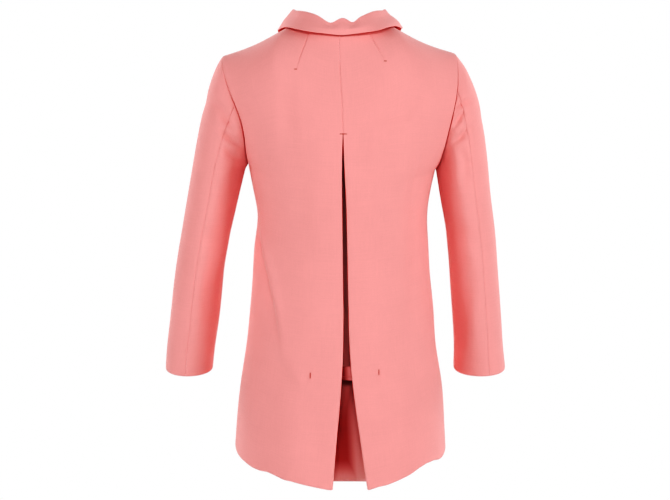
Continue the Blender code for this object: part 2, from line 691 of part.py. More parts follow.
def sleeve_panel(side, part):
    """The top or under sleeve, between the back seam and the front seam."""
    if part == "top":
        lines = [("back", row) for row in range(BACK_SEAM_ROW, 0, -1)]
        lines += [("front", row) for row in range(0, FRONT_SEAM_ROW + 1)]
    else:
        lines = [("front", row) for row in range(FRONT_SEAM_ROW, ARMHOLE_ROWS)]
        lines += [("back", row) for row in range(ARMHOLE_ROWS, BACK_SEAM_ROW - 1, -1)]
    cloth = Cloth("sleeve_" + side + "_" + part)
    grid = np.array([sleeve_line(side, face, row) for face, row in lines]).transpose(1, 0, 2)
    from_armhole = smooth_step(np.arange(len(grid)) / SLEEVE_QUIET_ROWS)[:, None]
    from_front = smooth_step((grid[..., 1] + SLEEVE_FOLD_START) / SLEEVE_FOLD_BLEND)
    height = fold_height("sleeve_" + side, grid[..., 0], grid[..., 2]) * from_front * from_armhole
    angles = np.radians([float(loop_angle(side, face, row)) * FACES[face] for face, row in lines])
    outward = points(SIGNS[side] * np.cos(angles), np.sin(angles), 0.0)
    cloth.add_grid(grid + height[..., None] * outward, side == "left")
    return cloth


# ------------------------------------------------------------------ collar
COLLAR_TURNS = np.linspace(2.0, -2.0, 4 * NECK_COLUMNS + 1)    # a station at each neckline point


def outward(line):
    """The level way out from the neck's axis at each point."""
    way = line * [1.0, 1.0, 0.0]
    return way / np.linalg.norm(way, axis=-1, keepdims=True)


def neck_seam(body):
    """The panels' own neckline points, from the left centre front round the back to the right."""
    lines = [np.asarray(cloth.points)[cloth.neckline] for cloth in body]
    back_left, back_right, front_left, front_right = lines
    return np.concatenate([front_left, back_left[-2::-1], back_right[1:], front_right[-2::-1]])


def stand_top(base):
    """The outside of the stand's upper edge."""
    rise = column(COLLARS, "turn", "rise")(np.abs(COLLAR_TURNS))
    lean = column(COLLARS, "turn", "lean")(np.abs(COLLAR_TURNS))
    return base + points(0.0, 0.0, rise) - outward(base) * lean[:, None]


def collar_stand(base):
    cloth = Cloth("collar_stand")
    top = stand_top(base)
    lines = [top + (base - top) * step / STAND_ROWS for step in range(STAND_ROWS + 1)]
    index = cloth.add_grid(np.array(lines), False)
    for i, way in zip(index[0], outward(base)):
        cloth.set_ways[int(i)] = way
    return cloth


def collar_leaf(base, body):
    """The leaf: over the roll, then down and out to its edge, clear of what it lies on."""
    cloth = Cloth("collar_leaf")
    read = {name: column(COLLARS, "turn", name)(np.abs(COLLAR_TURNS))
            for name in ("edge_out", "edge_back", "edge_height")}
    edge = points(np.sign(COLLAR_TURNS) * read["edge_out"], read["edge_back"], read["edge_height"])
    out = outward(base)
    centres = stand_top(base) + out * (ROLL_RADIUS - WALL) + [0.0, 0.0, SEAM_GAP]
    lines = [leaf_section(*station) for station in zip(centres, out, edge)]
    grid = np.array(lines).transpose(1, 0, 2)
    lift_clear(grid, body)
    index = cloth.add_grid(grid, False)
    for line, places in zip(index[:ROLL_STEPS + 1], grid):
        for i, place, centre in zip(line, places, centres):
            cloth.set_ways[int(i)] = (place - centre) / ROLL_RADIUS
    return cloth


def leaf_section(centre, out, last):
    """Round over the roll, then straight down and out to the edge."""
    up = np.array([0.0, 0.0, 1.0])
    fall = last - centre
    stop = math.pi / 2.0 - math.atan2(-fall[2], fall @ out)
    angles = np.linspace(math.pi, stop, ROLL_STEPS + 1)
    roll = [centre + ROLL_RADIUS * (math.cos(a) * out + math.sin(a) * up) for a in angles]
    steps = np.arange(1, FALL_STEPS + 1) / FALL_STEPS
    return np.array(roll + [roll[-1] + (last - roll[-1]) * step for step in steps])


def lift_clear(grid, body):
    """Raises the fall, square to itself, where it would lie too close to the body."""
    tree = surface(*body)
    fall = grid[-1] - grid[ROLL_STEPS]
    out = outward(grid[ROLL_STEPS])
    over = points(-out[:, 0] * fall[:, 2], -out[:, 1] * fall[:, 2], (out * fall).sum(axis=1))
    over /= np.linalg.norm(over, axis=1, keepdims=True)

    def shortfall(place, way):
        near, facing, _, _ = tree.find_nearest(Vector(place))
        gap = (Vector(place) - near).dot(facing)
        return max(0.0, LEAF_CLEARANCE - gap) / max(0.5, Vector(way).dot(facing))

    for _ in range(LIFT_PASSES):
        raised = np.zeros(grid.shape[:2])
        for r in range(ROLL_STEPS + 1, grid.shape[0]):
            for c in range(grid.shape[1]):
                raised[r, c] = max(raised[r, c], shortfall(grid[r, c], over[c]))
        for r in range(ROLL_STEPS, grid.shape[0] - 1):
            for c in range(grid.shape[1] - 1):
                cell = raised[r:r + 2, c:c + 2]
                middle = grid[r:r + 2, c:c + 2].reshape(4, 3).mean(axis=0)
                np.maximum(cell, shortfall(middle, over[c]), out=cell)
        raised = smoothed_up(raised)
        raised[:ROLL_STEPS + 1] = 0.0
        grid += raised[..., None] * over


def smoothed_up(values):
    """The values evened out with their neighbours, and nowhere lowered."""
    for blend in (np.max, np.mean):
        padded = np.pad(values, 1, mode="edge")
        near = [padded[r:r + values.shape[0], c:c + values.shape[1]] for r in range(3) for c in range(3)]
        values = blend(near, axis=0)
    return values


# ------------------------------------------------------------------ buttons
def button_mesh():
    """A round button facing -Y with a raised rim and four holes."""
    verts = []
    faces = []
    for ring in BUTTON_PROFILE:
        for step in range(BUTTON_SIDES):
            angle = 2.0 * math.pi * step / BUTTON_SIDES
            verts.append((BUTTON_RADIUS * ring.radius * math.cos(angle), BUTTON_THICKNESS * ring.level,
                          BUTTON_RADIUS * ring.radius * math.sin(angle)))
    for start in range(0, len(verts) - BUTTON_SIDES, BUTTON_SIDES):
        for step in range(BUTTON_SIDES):
            after = (step + 1) % BUTTON_SIDES
            faces.append((start + step, start + BUTTON_SIDES + step,
                          start + BUTTON_SIDES + after, start + after))
    faces.append(tuple(range(BUTTON_SIDES)))
    faces.append(tuple(reversed(range(len(verts) - BUTTON_SIDES, len(verts)))))
    mesh = bpy.data.meshes.new("button")
    mesh.from_pydata(verts, [], faces)
    blank = bpy.data.objects.new("button blank", mesh)
    bpy.context.collection.objects.link(blank)
    drills = []
    for x in (-BUTTON_HOLE_PLACE, BUTTON_HOLE_PLACE):
        for z in (-BUTTON_HOLE_PLACE, BUTTON_HOLE_PLACE):
            bpy.ops.mesh.primitive_cylinder_add(vertices=BUTTON_HOLE_SIDES, radius=BUTTON_HOLE_RADIUS,
                                                depth=2.0 * BUTTON_THICKNESS, location=(x, 0.0, z),
                                                rotation=(math.pi / 2.0, 0.0, 0.0))
            drills.append(bpy.context.object)
            cut = blank.modifiers.new("hole", "BOOLEAN")
            cut.operation = "DIFFERENCE"
            cut.object = drills[-1]
    drilled = bpy.data.meshes.new_from_object(blank.evaluated_get(bpy.context.evaluated_depsgraph_get()))
    for used in drills + [blank]:
        bpy.data.objects.remove(used, do_unlink=True)
    drilled.shade_smooth()
    drilled.set_sharp_from_angle(angle=math.radians(40.0))
    return drilled


def surface(*cloths):
    """The right sides of some pieces, to measure against."""
    places = []
    faces = []
    for cloth in cloths:
        faces += [[int(i) + len(places) for i in quad] for quad in cloth.quads]
        places += [tuple(place) for place in cloth.points]
    return BVHTree.FromPolygons(places, faces)


def add_buttons(front, material):
    """Each button lies on the upper front, clear of its highest place under the rim."""
    mesh = button_mesh()
    mesh.materials.append(material)
    tree = surface(front)
    for number, height in enumerate(BUTTON_HEIGHTS, start=1):
        above, below = (front_place(tree, 0.0, height + step) for step in (BUTTON_RADIUS, -BUTTON_RADIUS))
        lean = math.atan2(above.y - below.y, above.z - below.z)
        out = Vector((0.0, -math.cos(lean), math.sin(lean)))
        middle = (above + below) / 2.0
        rim = [front_place(tree, BUTTON_RADIUS * math.cos(a), height + BUTTON_RADIUS * math.sin(a))
               for a in np.linspace(0.0, 2.0 * math.pi, 12, endpoint=False)]
        reach = max((place - middle).dot(out) for place in rim + [front_place(tree, 0.0, height)])
        button = bpy.data.objects.new(f"button_{number}", mesh)
        button.location = middle + out * (reach + BUTTON_SEAT + BUTTON_THICKNESS / 2.0)
        button.rotation_euler = (-lean, 0.0, 0.0)
        bpy.context.collection.objects.link(button)


def front_place(tree, x, z):
    return tree.ray_cast(Vector((x, -1.0, z)), Vector((0.0, 1.0, 0.0)))[0]


# ------------------------------------------------------------------ scene
def material(name, colour, roughness, sheen=0.0):
    made = bpy.data.materials.new(name)
    made.use_nodes = True
    shader = made.node_tree.nodes["Principled BSDF"]
    shader.inputs["Base Color"].default_value = colour
    shader.inputs["Roughness"].default_value = roughness
    shader.inputs["Metallic"].default_value = 0.0
    shader.inputs["Sheen Weight"].default_value = sheen
    return made


def main():
    for old in list(bpy.data.objects):
        bpy.data.objects.remove(old, do_unlink=True)
    cloth_finish = material("coral cloth", CLOTH_COLOUR, 0.75, 0.2)
    button_finish = material("coral button", BUTTON_COLOUR, 0.35)
    body = [body_panel(side, face, face + "_" + side) for face in FACES for side in SIGNS]
    sleeves = [sleeve_panel(side, part) for side in SIGNS for part in ("top", "under")]
    neck = neck_seam(body)
    cloths = body + sleeves + [collar_stand(neck), collar_leaf(neck, body), pleat_underlay(), pleat_stay()]
    ways = mitres(cloths)
    for cloth in cloths:
        mesh = wall_mesh(cloth, ways[cloth.name])
        mesh.materials.append(cloth_finish)
        bpy.context.collection.objects.link(bpy.data.objects.new(cloth.name, mesh))
    add_buttons(body[3], button_finish)


main()
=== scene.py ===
"""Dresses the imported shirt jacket: finer cloth on the same formulas, creases, seams, darts, stitches,
weave, light and camera. Metres, +Z up, the front faces -Y, the wearer's left is +X."""

import math
from collections import namedtuple

import bpy
import numpy as np
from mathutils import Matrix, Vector
from mathutils.bvhtree import BVHTree


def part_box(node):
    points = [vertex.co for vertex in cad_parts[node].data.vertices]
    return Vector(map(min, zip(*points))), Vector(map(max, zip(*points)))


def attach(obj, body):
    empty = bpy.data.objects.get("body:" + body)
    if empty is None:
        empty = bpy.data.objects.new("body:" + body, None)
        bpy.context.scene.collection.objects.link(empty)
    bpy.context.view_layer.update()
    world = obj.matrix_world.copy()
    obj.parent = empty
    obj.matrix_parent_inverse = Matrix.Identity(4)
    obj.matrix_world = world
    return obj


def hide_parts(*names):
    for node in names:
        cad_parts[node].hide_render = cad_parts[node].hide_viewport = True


# ------------------------------------------------------------------ cloth
WALL = 0.002
SEAM_GAP = 0.0003
LAYER_GAP = 0.0004

# ------------------------------------------------------------------ body: rows and columns
ARMHOLE_ROWS = 12
SKIRT_ROWS = 12
NECK_COLUMNS = 6
SHOULDER_COLUMNS = 7
TACK_ROW = 8                      # the centre back seam is closed down to this row

NECK_HALF = 0.078
NECK_POINT_HEIGHT = 0.004
BACK_NECK_HEIGHT = -0.006
FRONT_NECK_HEIGHT = -0.085
UNDERARM_ROW_HEIGHT = -0.265      # of the row from the underarm, at the centre lines
BACK_HEM_HEIGHT = -0.7895
FRONT_HEM_HEIGHT = -0.778
NECK_DROP = 1.25                  # how the neckline falls away from the neck points
SHOULDER_SAG = 0.005              # of the shoulder seam, at its middle
SHOULDER_ROUND = 0.45             # share of the armhole over which the shoulder rounds off
CENTRE_HANDLE = 0.60              # how flat the body is across its centre
SIDE_HANDLE = 0.55                # and beside its side seam
HEM_CURVE = 1.7
FINE_STEPS = 160
LAST_ROW = ARMHOLE_ROWS + SKIRT_ROWS
TINY = 1e-12                      # keeps a length of nothing from being divided by
ROUNDING = 1e-6
DECIMALS = 9                      # to which two columns or rows count as one

Centre = namedtuple("Centre", "height back front")
CENTRES = [                       # depth of the body at its centre lines
    Centre(0.000, 0.077, 0.088),
    Centre(-0.050, 0.092, 0.092),
    Centre(-0.100, 0.107, 0.104),
    Centre(-0.150, 0.117, 0.122),
    Centre(-0.200, 0.121, 0.136),
    Centre(-0.260, 0.121, 0.141),
    Centre(-0.340, 0.119, 0.138),
    Centre(-0.440, 0.1235, 0.136),
    Centre(-0.560, 0.132, 0.140),
    Centre(-0.680, 0.142, 0.147),
    Centre(-0.800, 0.151, 0.153),
]

Side = namedtuple("Side", "height left right")
SIDES = [                         # half width of the body at its side seams
    Side(-0.240, 0.1640, 0.1690),
    Side(-0.290, 0.1545, 0.1580),
    Side(-0.330, 0.1485, 0.1535),
    Side(-0.380, 0.1538, 0.1556),
    Side(-0.430, 0.1573, 0.1585),
    Side(-0.505, 0.1634, 0.1662),
    Side(-0.560, 0.1693, 0.1700),
    Side(-0.635, 0.1808, 0.1818),
    Side(-0.700, 0.1878, 0.1866),
    Side(-0.760, 0.1922, 0.1900),
]

# ------------------------------------------------------------------ armholes
Armhole = namedtuple("Armhole", "tip pit back_depth front_depth back_seam front_seam side_hem")
ARMHOLES = {                      # heights, depths, and the sleeve seams' angles round the loop
    "left": Armhole(-0.0505, -0.2385, 0.060, 0.066, 84.0, 105.0, -0.749),
    "right": Armhole(-0.0455, -0.2445, 0.060, 0.066, 71.0, 105.0, -0.752),
}
BACK_SEAM_ROW = 6
FRONT_SEAM_ROW = 7

Loop = namedtuple("Loop", "angle left_back left_front right_back right_front splay")
LOOPS = [                         # half width at the armhole, from shoulder tip to underarm
    Loop(0.0, 0.2070, 0.2070, 0.1985, 0.1985, 2.4),
    Loop(50.0, 0.2030, 0.1960, 0.2032, 0.1950, 1.7),
    Loop(74.0, 0.1905, 0.1830, 0.2004, 0.1865, 1.2),
    Loop(101.0, 0.1742, 0.1720, 0.1911, 0.1785, 0.8),
    Loop(130.0, 0.1680, 0.1665, 0.1810, 0.1725, 0.4),
    Loop(180.0, 0.1640, 0.1640, 0.1690, 0.1690, 0.0),
]

# ------------------------------------------------------------------ pleat at the centre back
Pleat = namedtuple("Pleat", "height left right")
PLEATS = [                        # where the centre back seam and then the two folded edges run
    Pleat(-0.010, 0.0036, 0.0036),
    Pleat(-0.072, 0.0022, 0.0022),
    Pleat(-0.122, -0.0010, -0.0010),
    Pleat(-0.179, -0.0026, -0.0032),
    Pleat(-0.224, -0.0013, -0.0042),
    Pleat(-0.292, -0.0010, -0.0064),
    Pleat(-0.464, -0.0004, -0.0100),
    Pleat(-0.577, 0.0006, -0.0153),
    Pleat(-0.672, 0.0068, -0.0275),
    Pleat(-0.790, 0.0150, -0.0457),
]
PLEAT_ROUND = 0.003
PLEAT_ROUND_ROWS = 4              # rows below the tack over which the folds become fully round
RETURN_ENDS = {"left": 0.078, "right": -0.088}
UNDERLAY_INSET = 0.0005           # from the returns' ends
UNDERLAY_DEPTH = 0.042            # how far it sinks away from the returns in the middle
UNDERLAY_TOP_DEPTH = 0.45         # share of that just below the tack
UNDERLAY_FULL_ROWS = 5            # rows below the tack over which the depth becomes full
UNDERLAY_LAP = 0.006              # how much of each side lies flat on its return
UNDERLAY_SLOPE = 0.072            # and over what width it sinks from there
UNDERLAY_SHORT = 0.008            # its hem ends this much above the backs'
STAY_ENDS = (0.054, -0.066)
STAY_TOP = -0.5795
STAY_HEIGHT = 0.0245

# ------------------------------------------------------------------ front edges and buttons
LAP = 0.018
LAP_SETBACK = 0.0032              # the left front lies this much under the right one
LAP_BLEND = (0.022, 0.060)        # and comes forward again between these widths
FIRST_BUTTON = -0.115
BUTTON_STEP = 0.095
BUTTON_HEIGHTS = [FIRST_BUTTON - BUTTON_STEP * step for step in range(5)]
BUTTON_HOLE_PLACE = 0.0020        # of each hole's middle, across and up

# ------------------------------------------------------------------ sleeves
CAP_END_STEP = 0.010              # the cap arrives along this first stretch of the tube
CAP_CROWDING = 1.3                # the rows stand closer together near the armhole
SLEEVE_QUIET_REACH = 0.035        # the sleeve's folds start below this
SLEEVE_FOLD_START = 0.030         # and this far in front of its middle
SLEEVE_FOLD_BLEND = 0.050
CAP_START_PULL = 0.62
CAP_END_PULL = 0.85
Cap = namedtuple("Cap", "angle out back down")
CAPS = [                          # which way the sleeve leaves the armhole
    Cap(0.0, 0.66, 0.00, -0.75),
    Cap(90.0, 0.45, 0.28, -0.85),
    Cap(180.0, 0.22, 0.00, -0.97),
    Cap(270.0, 0.45, -0.28, -0.85),
    Cap(360.0, 0.66, 0.00, -0.75),
]

Ring = namedtuple("Ring", "height left left_width right right_width depth forward tilt")
RINGS = [                         # sections of the two sleeves below the underarm
    Ring(-0.2518, 0.2176, 0.0470, 0.2152, 0.0460, 0.0545, 0.000, 0.0),
    Ring(-0.3054, 0.2288, 0.0454, 0.2226, 0.0446, 0.0535, 0.000, 2.0),
    Ring(-0.3592, 0.2398, 0.0440, 0.2308, 0.0437, 0.0525, 0.000, 4.0),
    Ring(-0.4141, 0.2505, 0.0432, 0.2366, 0.0430, 0.0510, -0.004, 6.5),
    Ring(-0.4693, 0.2580, 0.0438, 0.2413, 0.0434, 0.0495, -0.010, 9.0),
    Ring(-0.5260, 0.2650, 0.0440, 0.2463, 0.0437, 0.0480, -0.018, 12.0),
    Ring(-0.5740, 0.2722, 0.0436, 0.2500, 0.0446, 0.0460, -0.028, 14.5),
    Ring(-0.6120, 0.2765, 0.0431, 0.2525, 0.0470, 0.0450, -0.036, 16.5),
]

# ------------------------------------------------------------------ collar
STAND_ROWS = 2
ROLL_RADIUS = 0.003
ROLL_STEPS = 4
FALL_STEPS = 6
LIFT_PASSES = 3
LEAF_CLEARANCE = 0.0030           # from the body's right side to the leaf's
Collar = namedtuple("Collar", "turn rise lean edge_out edge_back edge_height")
COLLARS = [                       # turn: 0 at the centre back, 1 at the neck points, 2 at the front
    Collar(0.00, 0.0150, 0.0030, 0.000, 0.0900, -0.0135),
    Collar(0.20, 0.0140, 0.0025, 0.034, 0.0875, -0.0100),
    Collar(0.50, 0.0215, 0.0020, 0.075, 0.0660, -0.0045),
    Collar(0.75, 0.0235, -0.0030, 0.096, 0.0340, -0.0020),
    Collar(1.00, 0.0225, -0.0045, 0.105, -0.0020, -0.0075),
    Collar(1.25, 0.0220, -0.0025, 0.109, -0.0420, -0.0150),
    Collar(1.60, 0.0200, 0.0030, 0.104, -0.0900, -0.0570),
    Collar(2.00, 0.0150, 0.0050, 0.060, -0.1300, -0.1320),
]

# ------------------------------------------------------------------ the largest folds
FOLD_END = 0.08                   # how little of a fold is left at its ends
FoldFree = namedtuple("FoldFree", "centre centre_blend side side_blend")
FOLD_FREE = FoldFree(0.030, 0.050, 0.0025, 0.020)    # no fold runs into the centre or the side seams
Fold = namedtuple("Fold", "piece height width path")
FOLDS = [                         # raised (+) or sunk (-) along a path of (x, z) points
    Fold("back_left", 0.0045, 0.020, ((0.146, -0.320), (0.132, -0.380), (0.116, -0.450), (0.098, -0.545))),
    Fold("back_left", -0.0040, 0.024, ((0.156, -0.400), (0.146, -0.480), (0.140, -0.560))),
    Fold("back_left", 0.0030, 0.030, ((0.075, -0.560), (0.085, -0.660), (0.095, -0.780))),
    Fold("back_right", -0.0035, 0.018, ((-0.147, -0.215), (-0.140, -0.270), (-0.128, -0.380),
                                        (-0.126, -0.470))),
    Fold("back_right", 0.0030, 0.030, ((-0.100, -0.520), (-0.112, -0.640), (-0.120, -0.775))),
    Fold("front_left", -0.0040, 0.026, ((0.135, -0.230), (0.128, -0.330), (0.132, -0.430))),
    Fold("front_left", 0.0035, 0.030, ((0.095, -0.470), (0.110, -0.620), (0.120, -0.770))),
    Fold("front_right", -0.0040, 0.026, ((-0.138, -0.240), (-0.130, -0.330), (-0.128, -0.450))),
    Fold("front_right", 0.0035, 0.030, ((-0.090, -0.440), (-0.104, -0.600), (-0.118, -0.770))),
    Fold("sleeve_left", -0.0040, 0.016, ((0.200, -0.140), (0.225, -0.136), (0.246, -0.133))),
    Fold("sleeve_left", -0.0045, 0.018, ((0.196, -0.350), (0.222, -0.366), (0.250, -0.372))),
    Fold("sleeve_right", -0.0045, 0.016, ((-0.204, -0.150), (-0.222, -0.160), (-0.246, -0.170))),
    Fold("sleeve_right", -0.0045, 0.018, ((-0.190, -0.340), (-0.214, -0.362), (-0.244, -0.372))),
]

# ------------------------------------------------------------------ fine creases
CREASE_FREE = FoldFree(0.002, 0.012, 0.001, 0.006)    # creases come closer to both
CREASES = [
    Fold("back_left", -0.003, 0.016, ((0.085, -0.065), (0.0935, -0.13), (0.09, -0.22))),
    Fold("back_left", -0.0022, 0.018, ((0.062, -0.23), (0.07, -0.3), (0.066, -0.37))),
    Fold("back_left", 0.005, 0.007, ((0.145, -0.315), (0.137, -0.362), (0.1215, -0.4194),
                                     (0.107, -0.49), (0.0985, -0.56))),
    Fold("back_left", -0.0085, 0.011, ((0.16, -0.315), (0.151, -0.372), (0.137, -0.4294),
                                       (0.123, -0.49), (0.112, -0.56))),
    Fold("back_left", 0.0022, 0.014, ((0.126, -0.535), (0.098, -0.575), (0.072, -0.605))),
    Fold("back_left", -0.0024, 0.014, ((0.13, -0.56), (0.096, -0.605), (0.07, -0.635))),
    Fold("back_left", -0.0022, 0.006, ((0.056, -0.586), (0.06, -0.6), (0.064, -0.612))),
    Fold("back_left", -0.0018, 0.018, ((0.03, -0.63), (0.04, -0.7), (0.044, -0.77))),
    Fold("back_right", -0.0034, 0.01, ((-0.145, -0.2), (-0.14, -0.23), (-0.13, -0.26), (-0.122, -0.3),
                                       (-0.121, -0.37))),
    Fold("back_right", -0.003, 0.014, ((-0.168, -0.12), (-0.13, -0.138), (-0.118, -0.156),
                                       (-0.072, -0.17), (-0.065, -0.212))),
    Fold("back_right", -0.0026, 0.018, ((-0.07, -0.25), (-0.08, -0.33), (-0.074, -0.41))),
    Fold("back_right", -0.003, 0.01, ((-0.145, -0.335), (-0.13, -0.38), (-0.127, -0.45), (-0.124, -0.52))),
    Fold("back_right", 0.0022, 0.016, ((-0.1, -0.55), (-0.095, -0.615), (-0.115, -0.73))),
    Fold("back_right", -0.0022, 0.006, ((-0.066, -0.58), (-0.068, -0.595), (-0.072, -0.608))),
    Fold("front_left", -0.0034, 0.012, ((0.135, -0.225), (0.12, -0.275), (0.108, -0.34))),
    Fold("front_left", -0.0026, 0.016, ((0.06, -0.33), (0.068, -0.42), (0.062, -0.52))),
    Fold("front_left", 0.0024, 0.014, ((0.135, -0.36), (0.118, -0.43), (0.098, -0.52))),
    Fold("front_right", -0.0034, 0.012, ((-0.138, -0.235), (-0.124, -0.28), (-0.11, -0.36))),
    Fold("front_right", -0.0026, 0.017, ((-0.07, -0.39), (-0.076, -0.48), (-0.068, -0.57))),
    Fold("front_right", 0.0024, 0.014, ((-0.128, -0.38), (-0.112, -0.45), (-0.098, -0.56))),
    Fold("sleeve_left", -0.007, 0.0065, ((0.21, -0.145), (0.199, -0.161), (0.186, -0.176))),
    Fold("sleeve_left", -0.008, 0.006, ((0.206, -0.176), (0.196, -0.19), (0.176, -0.202))),
    Fold("sleeve_left", -0.005, 0.008, ((0.2, -0.206), (0.192, -0.22), (0.179, -0.228))),
    Fold("sleeve_left", -0.003, 0.008, ((0.233, -0.133), (0.211, -0.14), (0.196, -0.138))),
    Fold("sleeve_left", -0.004, 0.012, ((0.186, -0.25), (0.196, -0.29), (0.204, -0.34))),
    Fold("sleeve_left", -0.0034, 0.013, ((0.218, -0.415), (0.234, -0.46), (0.24, -0.52))),
    Fold("sleeve_right", -0.008, 0.0055, ((-0.223, -0.123), (-0.21, -0.133), (-0.196, -0.142))),
    Fold("sleeve_right", -0.008, 0.005, ((-0.215, -0.144), (-0.205, -0.158), (-0.195, -0.17))),
    Fold("sleeve_right", -0.008, 0.006, ((-0.224, -0.172), (-0.209, -0.188), (-0.191, -0.198))),
    Fold("sleeve_right", -0.005, 0.009, ((-0.206, -0.205), (-0.218, -0.235), (-0.216, -0.275))),
    Fold("sleeve_right", -0.0032, 0.012, ((-0.216, -0.39), (-0.228, -0.435), (-0.226, -0.51))),
    Fold("sleeve_right", -0.003, 0.009, ((-0.206, -0.47), (-0.216, -0.53), (-0.212, -0.59))),
]

# ------------------------------------------------------------------ cloth as it is cut and sewn
SKIN = 0.0013                     # one layer of the cloth
DOUBLE_SKIN = 0.0023              # two layers, at hems, facings and the collar
HEM_DEPTH = 0.035
FACING_DEPTH = 0.055
SEAM_INSET = 0.00003
EDGE_ROUND = 0.35                 # of the thickness, at edges that are not sewn
SEAM_DROP = 0.0008                # how far the cloth rolls in along a pressed seam
SEAM_ROLL = 0.0011

DARTS = {"left": ((0.0460, 0.0200), (0.0552, -0.0097), (0.0665, -0.0400), (0.0771, -0.0686)),
         "right": ((-0.0360, 0.0200), (-0.0510, -0.0148), (-0.0630, -0.0360), (-0.0745, -0.0551))}
DART_MIDDLE = 0.345               # the column that follows the dart
DART_COLUMNS = (-0.0160, -0.0100, -0.0060, -0.0035, -0.0015, 0.0, 0.0015, 0.0035, 0.0060, 0.0100, 0.0160)
DART_GROOVE = 0.0009              # half width of the sunk stitched line
DART_DEPTH = 0.0011
DART_RISE = 0.0005                # of the cloth over the fold underneath, on the dart's inner side
DART_FADE = 0.008
DART_END = 0.06                   # the share of its length over which it runs out
DART_TRIES = (0.1, 0.8, 71)       # shares of a row among which the dart is looked for
DART_ROWS = 49                    # rows at which it is looked for
DART_STEPS_BACK = 25              # towards the neck, where a row lies wholly below the dart's end
DART_PAST_END = 0.004

NEAR_EDGE = (0.0035, 0.0080, 0.0160)    # extra columns, as shares of a panel's width
NEAR_TOP = (0.035, 0.075, 0.18)   # extra rows below the neckline and the shoulder
BODY_COLUMNS = (20, 30)           # along the neckline, then along the shoulder
BODY_ROW_SPLITS = (8, 12)         # to each armhole row, to each skirt row
LAP_STEPS = 6
RETURN_STEPS = 12
UNDERLAY_POINTS = (61, 120)       # across and down
STAY_POINTS = (41, 9)
STAY_READINGS = 65                # of the rows' heights
STAY_SLACK = 0.010                # how far its middle hangs away from the backs, and down
STAY_SAG = 0.0035
PLEAT_LEAN = {                    # how far each back's pleat edge leans, at some heights
    "left": ((-0.800, 0.0), (-0.660, -0.0028), (-0.484, -0.0035), (-0.306, -0.0006), (-0.200, 0.0)),
    "right": ((-0.800, 0.0), (-0.660, 0.0), (-0.484, -0.0020), (-0.306, -0.0018), (-0.200, 0.0))}
PLEAT_LEAN_REACH = 0.035
HEM_SHIFTS = (                    # across, and how far the hem stands above its even curve
    (-0.1900, 0.0020), (-0.1787, 0.0053), (-0.1645, 0.0159), (-0.1504, 0.0195), (-0.1362, 0.0177),
    (-0.1221, 0.0124), (-0.1079, 0.0088), (-0.0937, 0.0053), (-0.0796, 0.0018), (-0.0654, 0.0),
    (-0.0477, -0.0053), (0.0213, -0.0053), (0.0443, -0.0018), (0.0585, 0.0), (0.0727, 0.0018),
    (0.0868, 0.0035), (0.1010, 0.0035), (0.1151, 0.0070), (0.1293, 0.0088), (0.1435, 0.0053),
    (0.1576, 0.0035), (0.1718, 0.0035), (0.1859, 0.0020))
HEM_SHIFT_REACH = 0.130           # the shift has faded out this much above the hem
HEM_SHIFT_FRONT = (0.040, 0.050)  # on the fronts the hem keeps its even curve up to here, then blends
UNDERLAY_DIP = 0.27               # the underlay's hem hangs lower, by this share of the pleat's depth
UNDERLAY_DIP_ROWS = 4.0
POCKET = (-0.400, -0.545)         # the opening in each side seam, from the top down
POCKET_SINK = 0.0035
POCKET_REACH = 0.016
POCKET_FULLNESS = 0.7             # the smaller, the sooner the slit is fully open

SLEEVE_LINE_SPLITS = 4            # to each armhole row
SLEEVE_SEAM_STEP = 0.06           # of a row, from a seam to the next line
SLEEVE_CAP_STEPS = 44
SLEEVE_TUBE_STEPS = 110
SLEEVE_CREASE_START = 0.006       # the fine creases are full at this distance from the armhole
CAP_PUFF = {"left": 0.0, "right": 0.0065}    # the right sleeve stands out more below its shoulder
CAP_PUFF_PLACE = (-0.125, 0.070)
CAP_PUFF_START = 0.030
TURN_IN = 0.013                   # how far the sleeve's inner side turns forward
TURN_TOP = -0.170
TURN_TOP_BLEND = 0.08
TURN_LOW = (0.01, 0.12)           # above the cuff, where it starts and its blend
TURN_INWARD = (0.15, 0.8)         # across the sleeve, in half widths
TURN_BEHIND = (-0.9, 0.9)         # through it, in half depths
CUFF_REACH = 0.09                 # above the hem of a sleeve, where its corners turn squarer
CUFF_SQUARE = 0.5

COLLAR_WAVES = [                  # across, and how far the top edge stands over its even curve
    (0.0850, 0.0), (0.0720, 0.0014), (0.0621, 0.0024), (0.0500, 0.0038), (0.0430, 0.0044),
    (0.0337, 0.0026), (0.0250, -0.0014), (0.0178, -0.0036), (0.0080, 0.0), (-0.0052, 0.0038),
    (-0.0130, 0.0), (-0.0194, -0.0030), (-0.0300, 0.0024), (-0.0380, 0.0040), (-0.0495, 0.0036),
    (-0.0637, 0.0020), (-0.0720, 0.0010), (-0.0850, 0.0)]
WAVE_FADE = 0.55                  # the share of a piece's height over which they fade out
STAND_FOLLOWS = (0.6, 1.2)        # how much of a rise, and of a dip, the stand takes inside the leaf
COLLAR_BACK = 0.030               # what belongs to the collar's back is full from here backwards
RIGHT_COLLAR_IN = 0.007           # the collar stands this much nearer the neck at its right side
RIGHT_COLLAR_TURNS = ((0.3, 0.4), (1.3, 0.5))    # where that starts and stops, each with its blend
LEAF_SPLITS = (5, 5)
LEAF_SWELL = 0.0040               # the leaf swells at the centre back and turns under towards its edge
LEAF_SWELL_WAY = (0.0, 0.9, 0.4)
LEAF_SWELL_PLACES = (0.45, 0.80)  # down the leaf, where the swelling starts and is fullest
LEAF_SWELL_ACROSS = (-0.005, 0.064, 0.045)    # its middle, its reach and its blend
LEAF_SLANT = 0.5                  # the least that a lift is taken to clear the body by

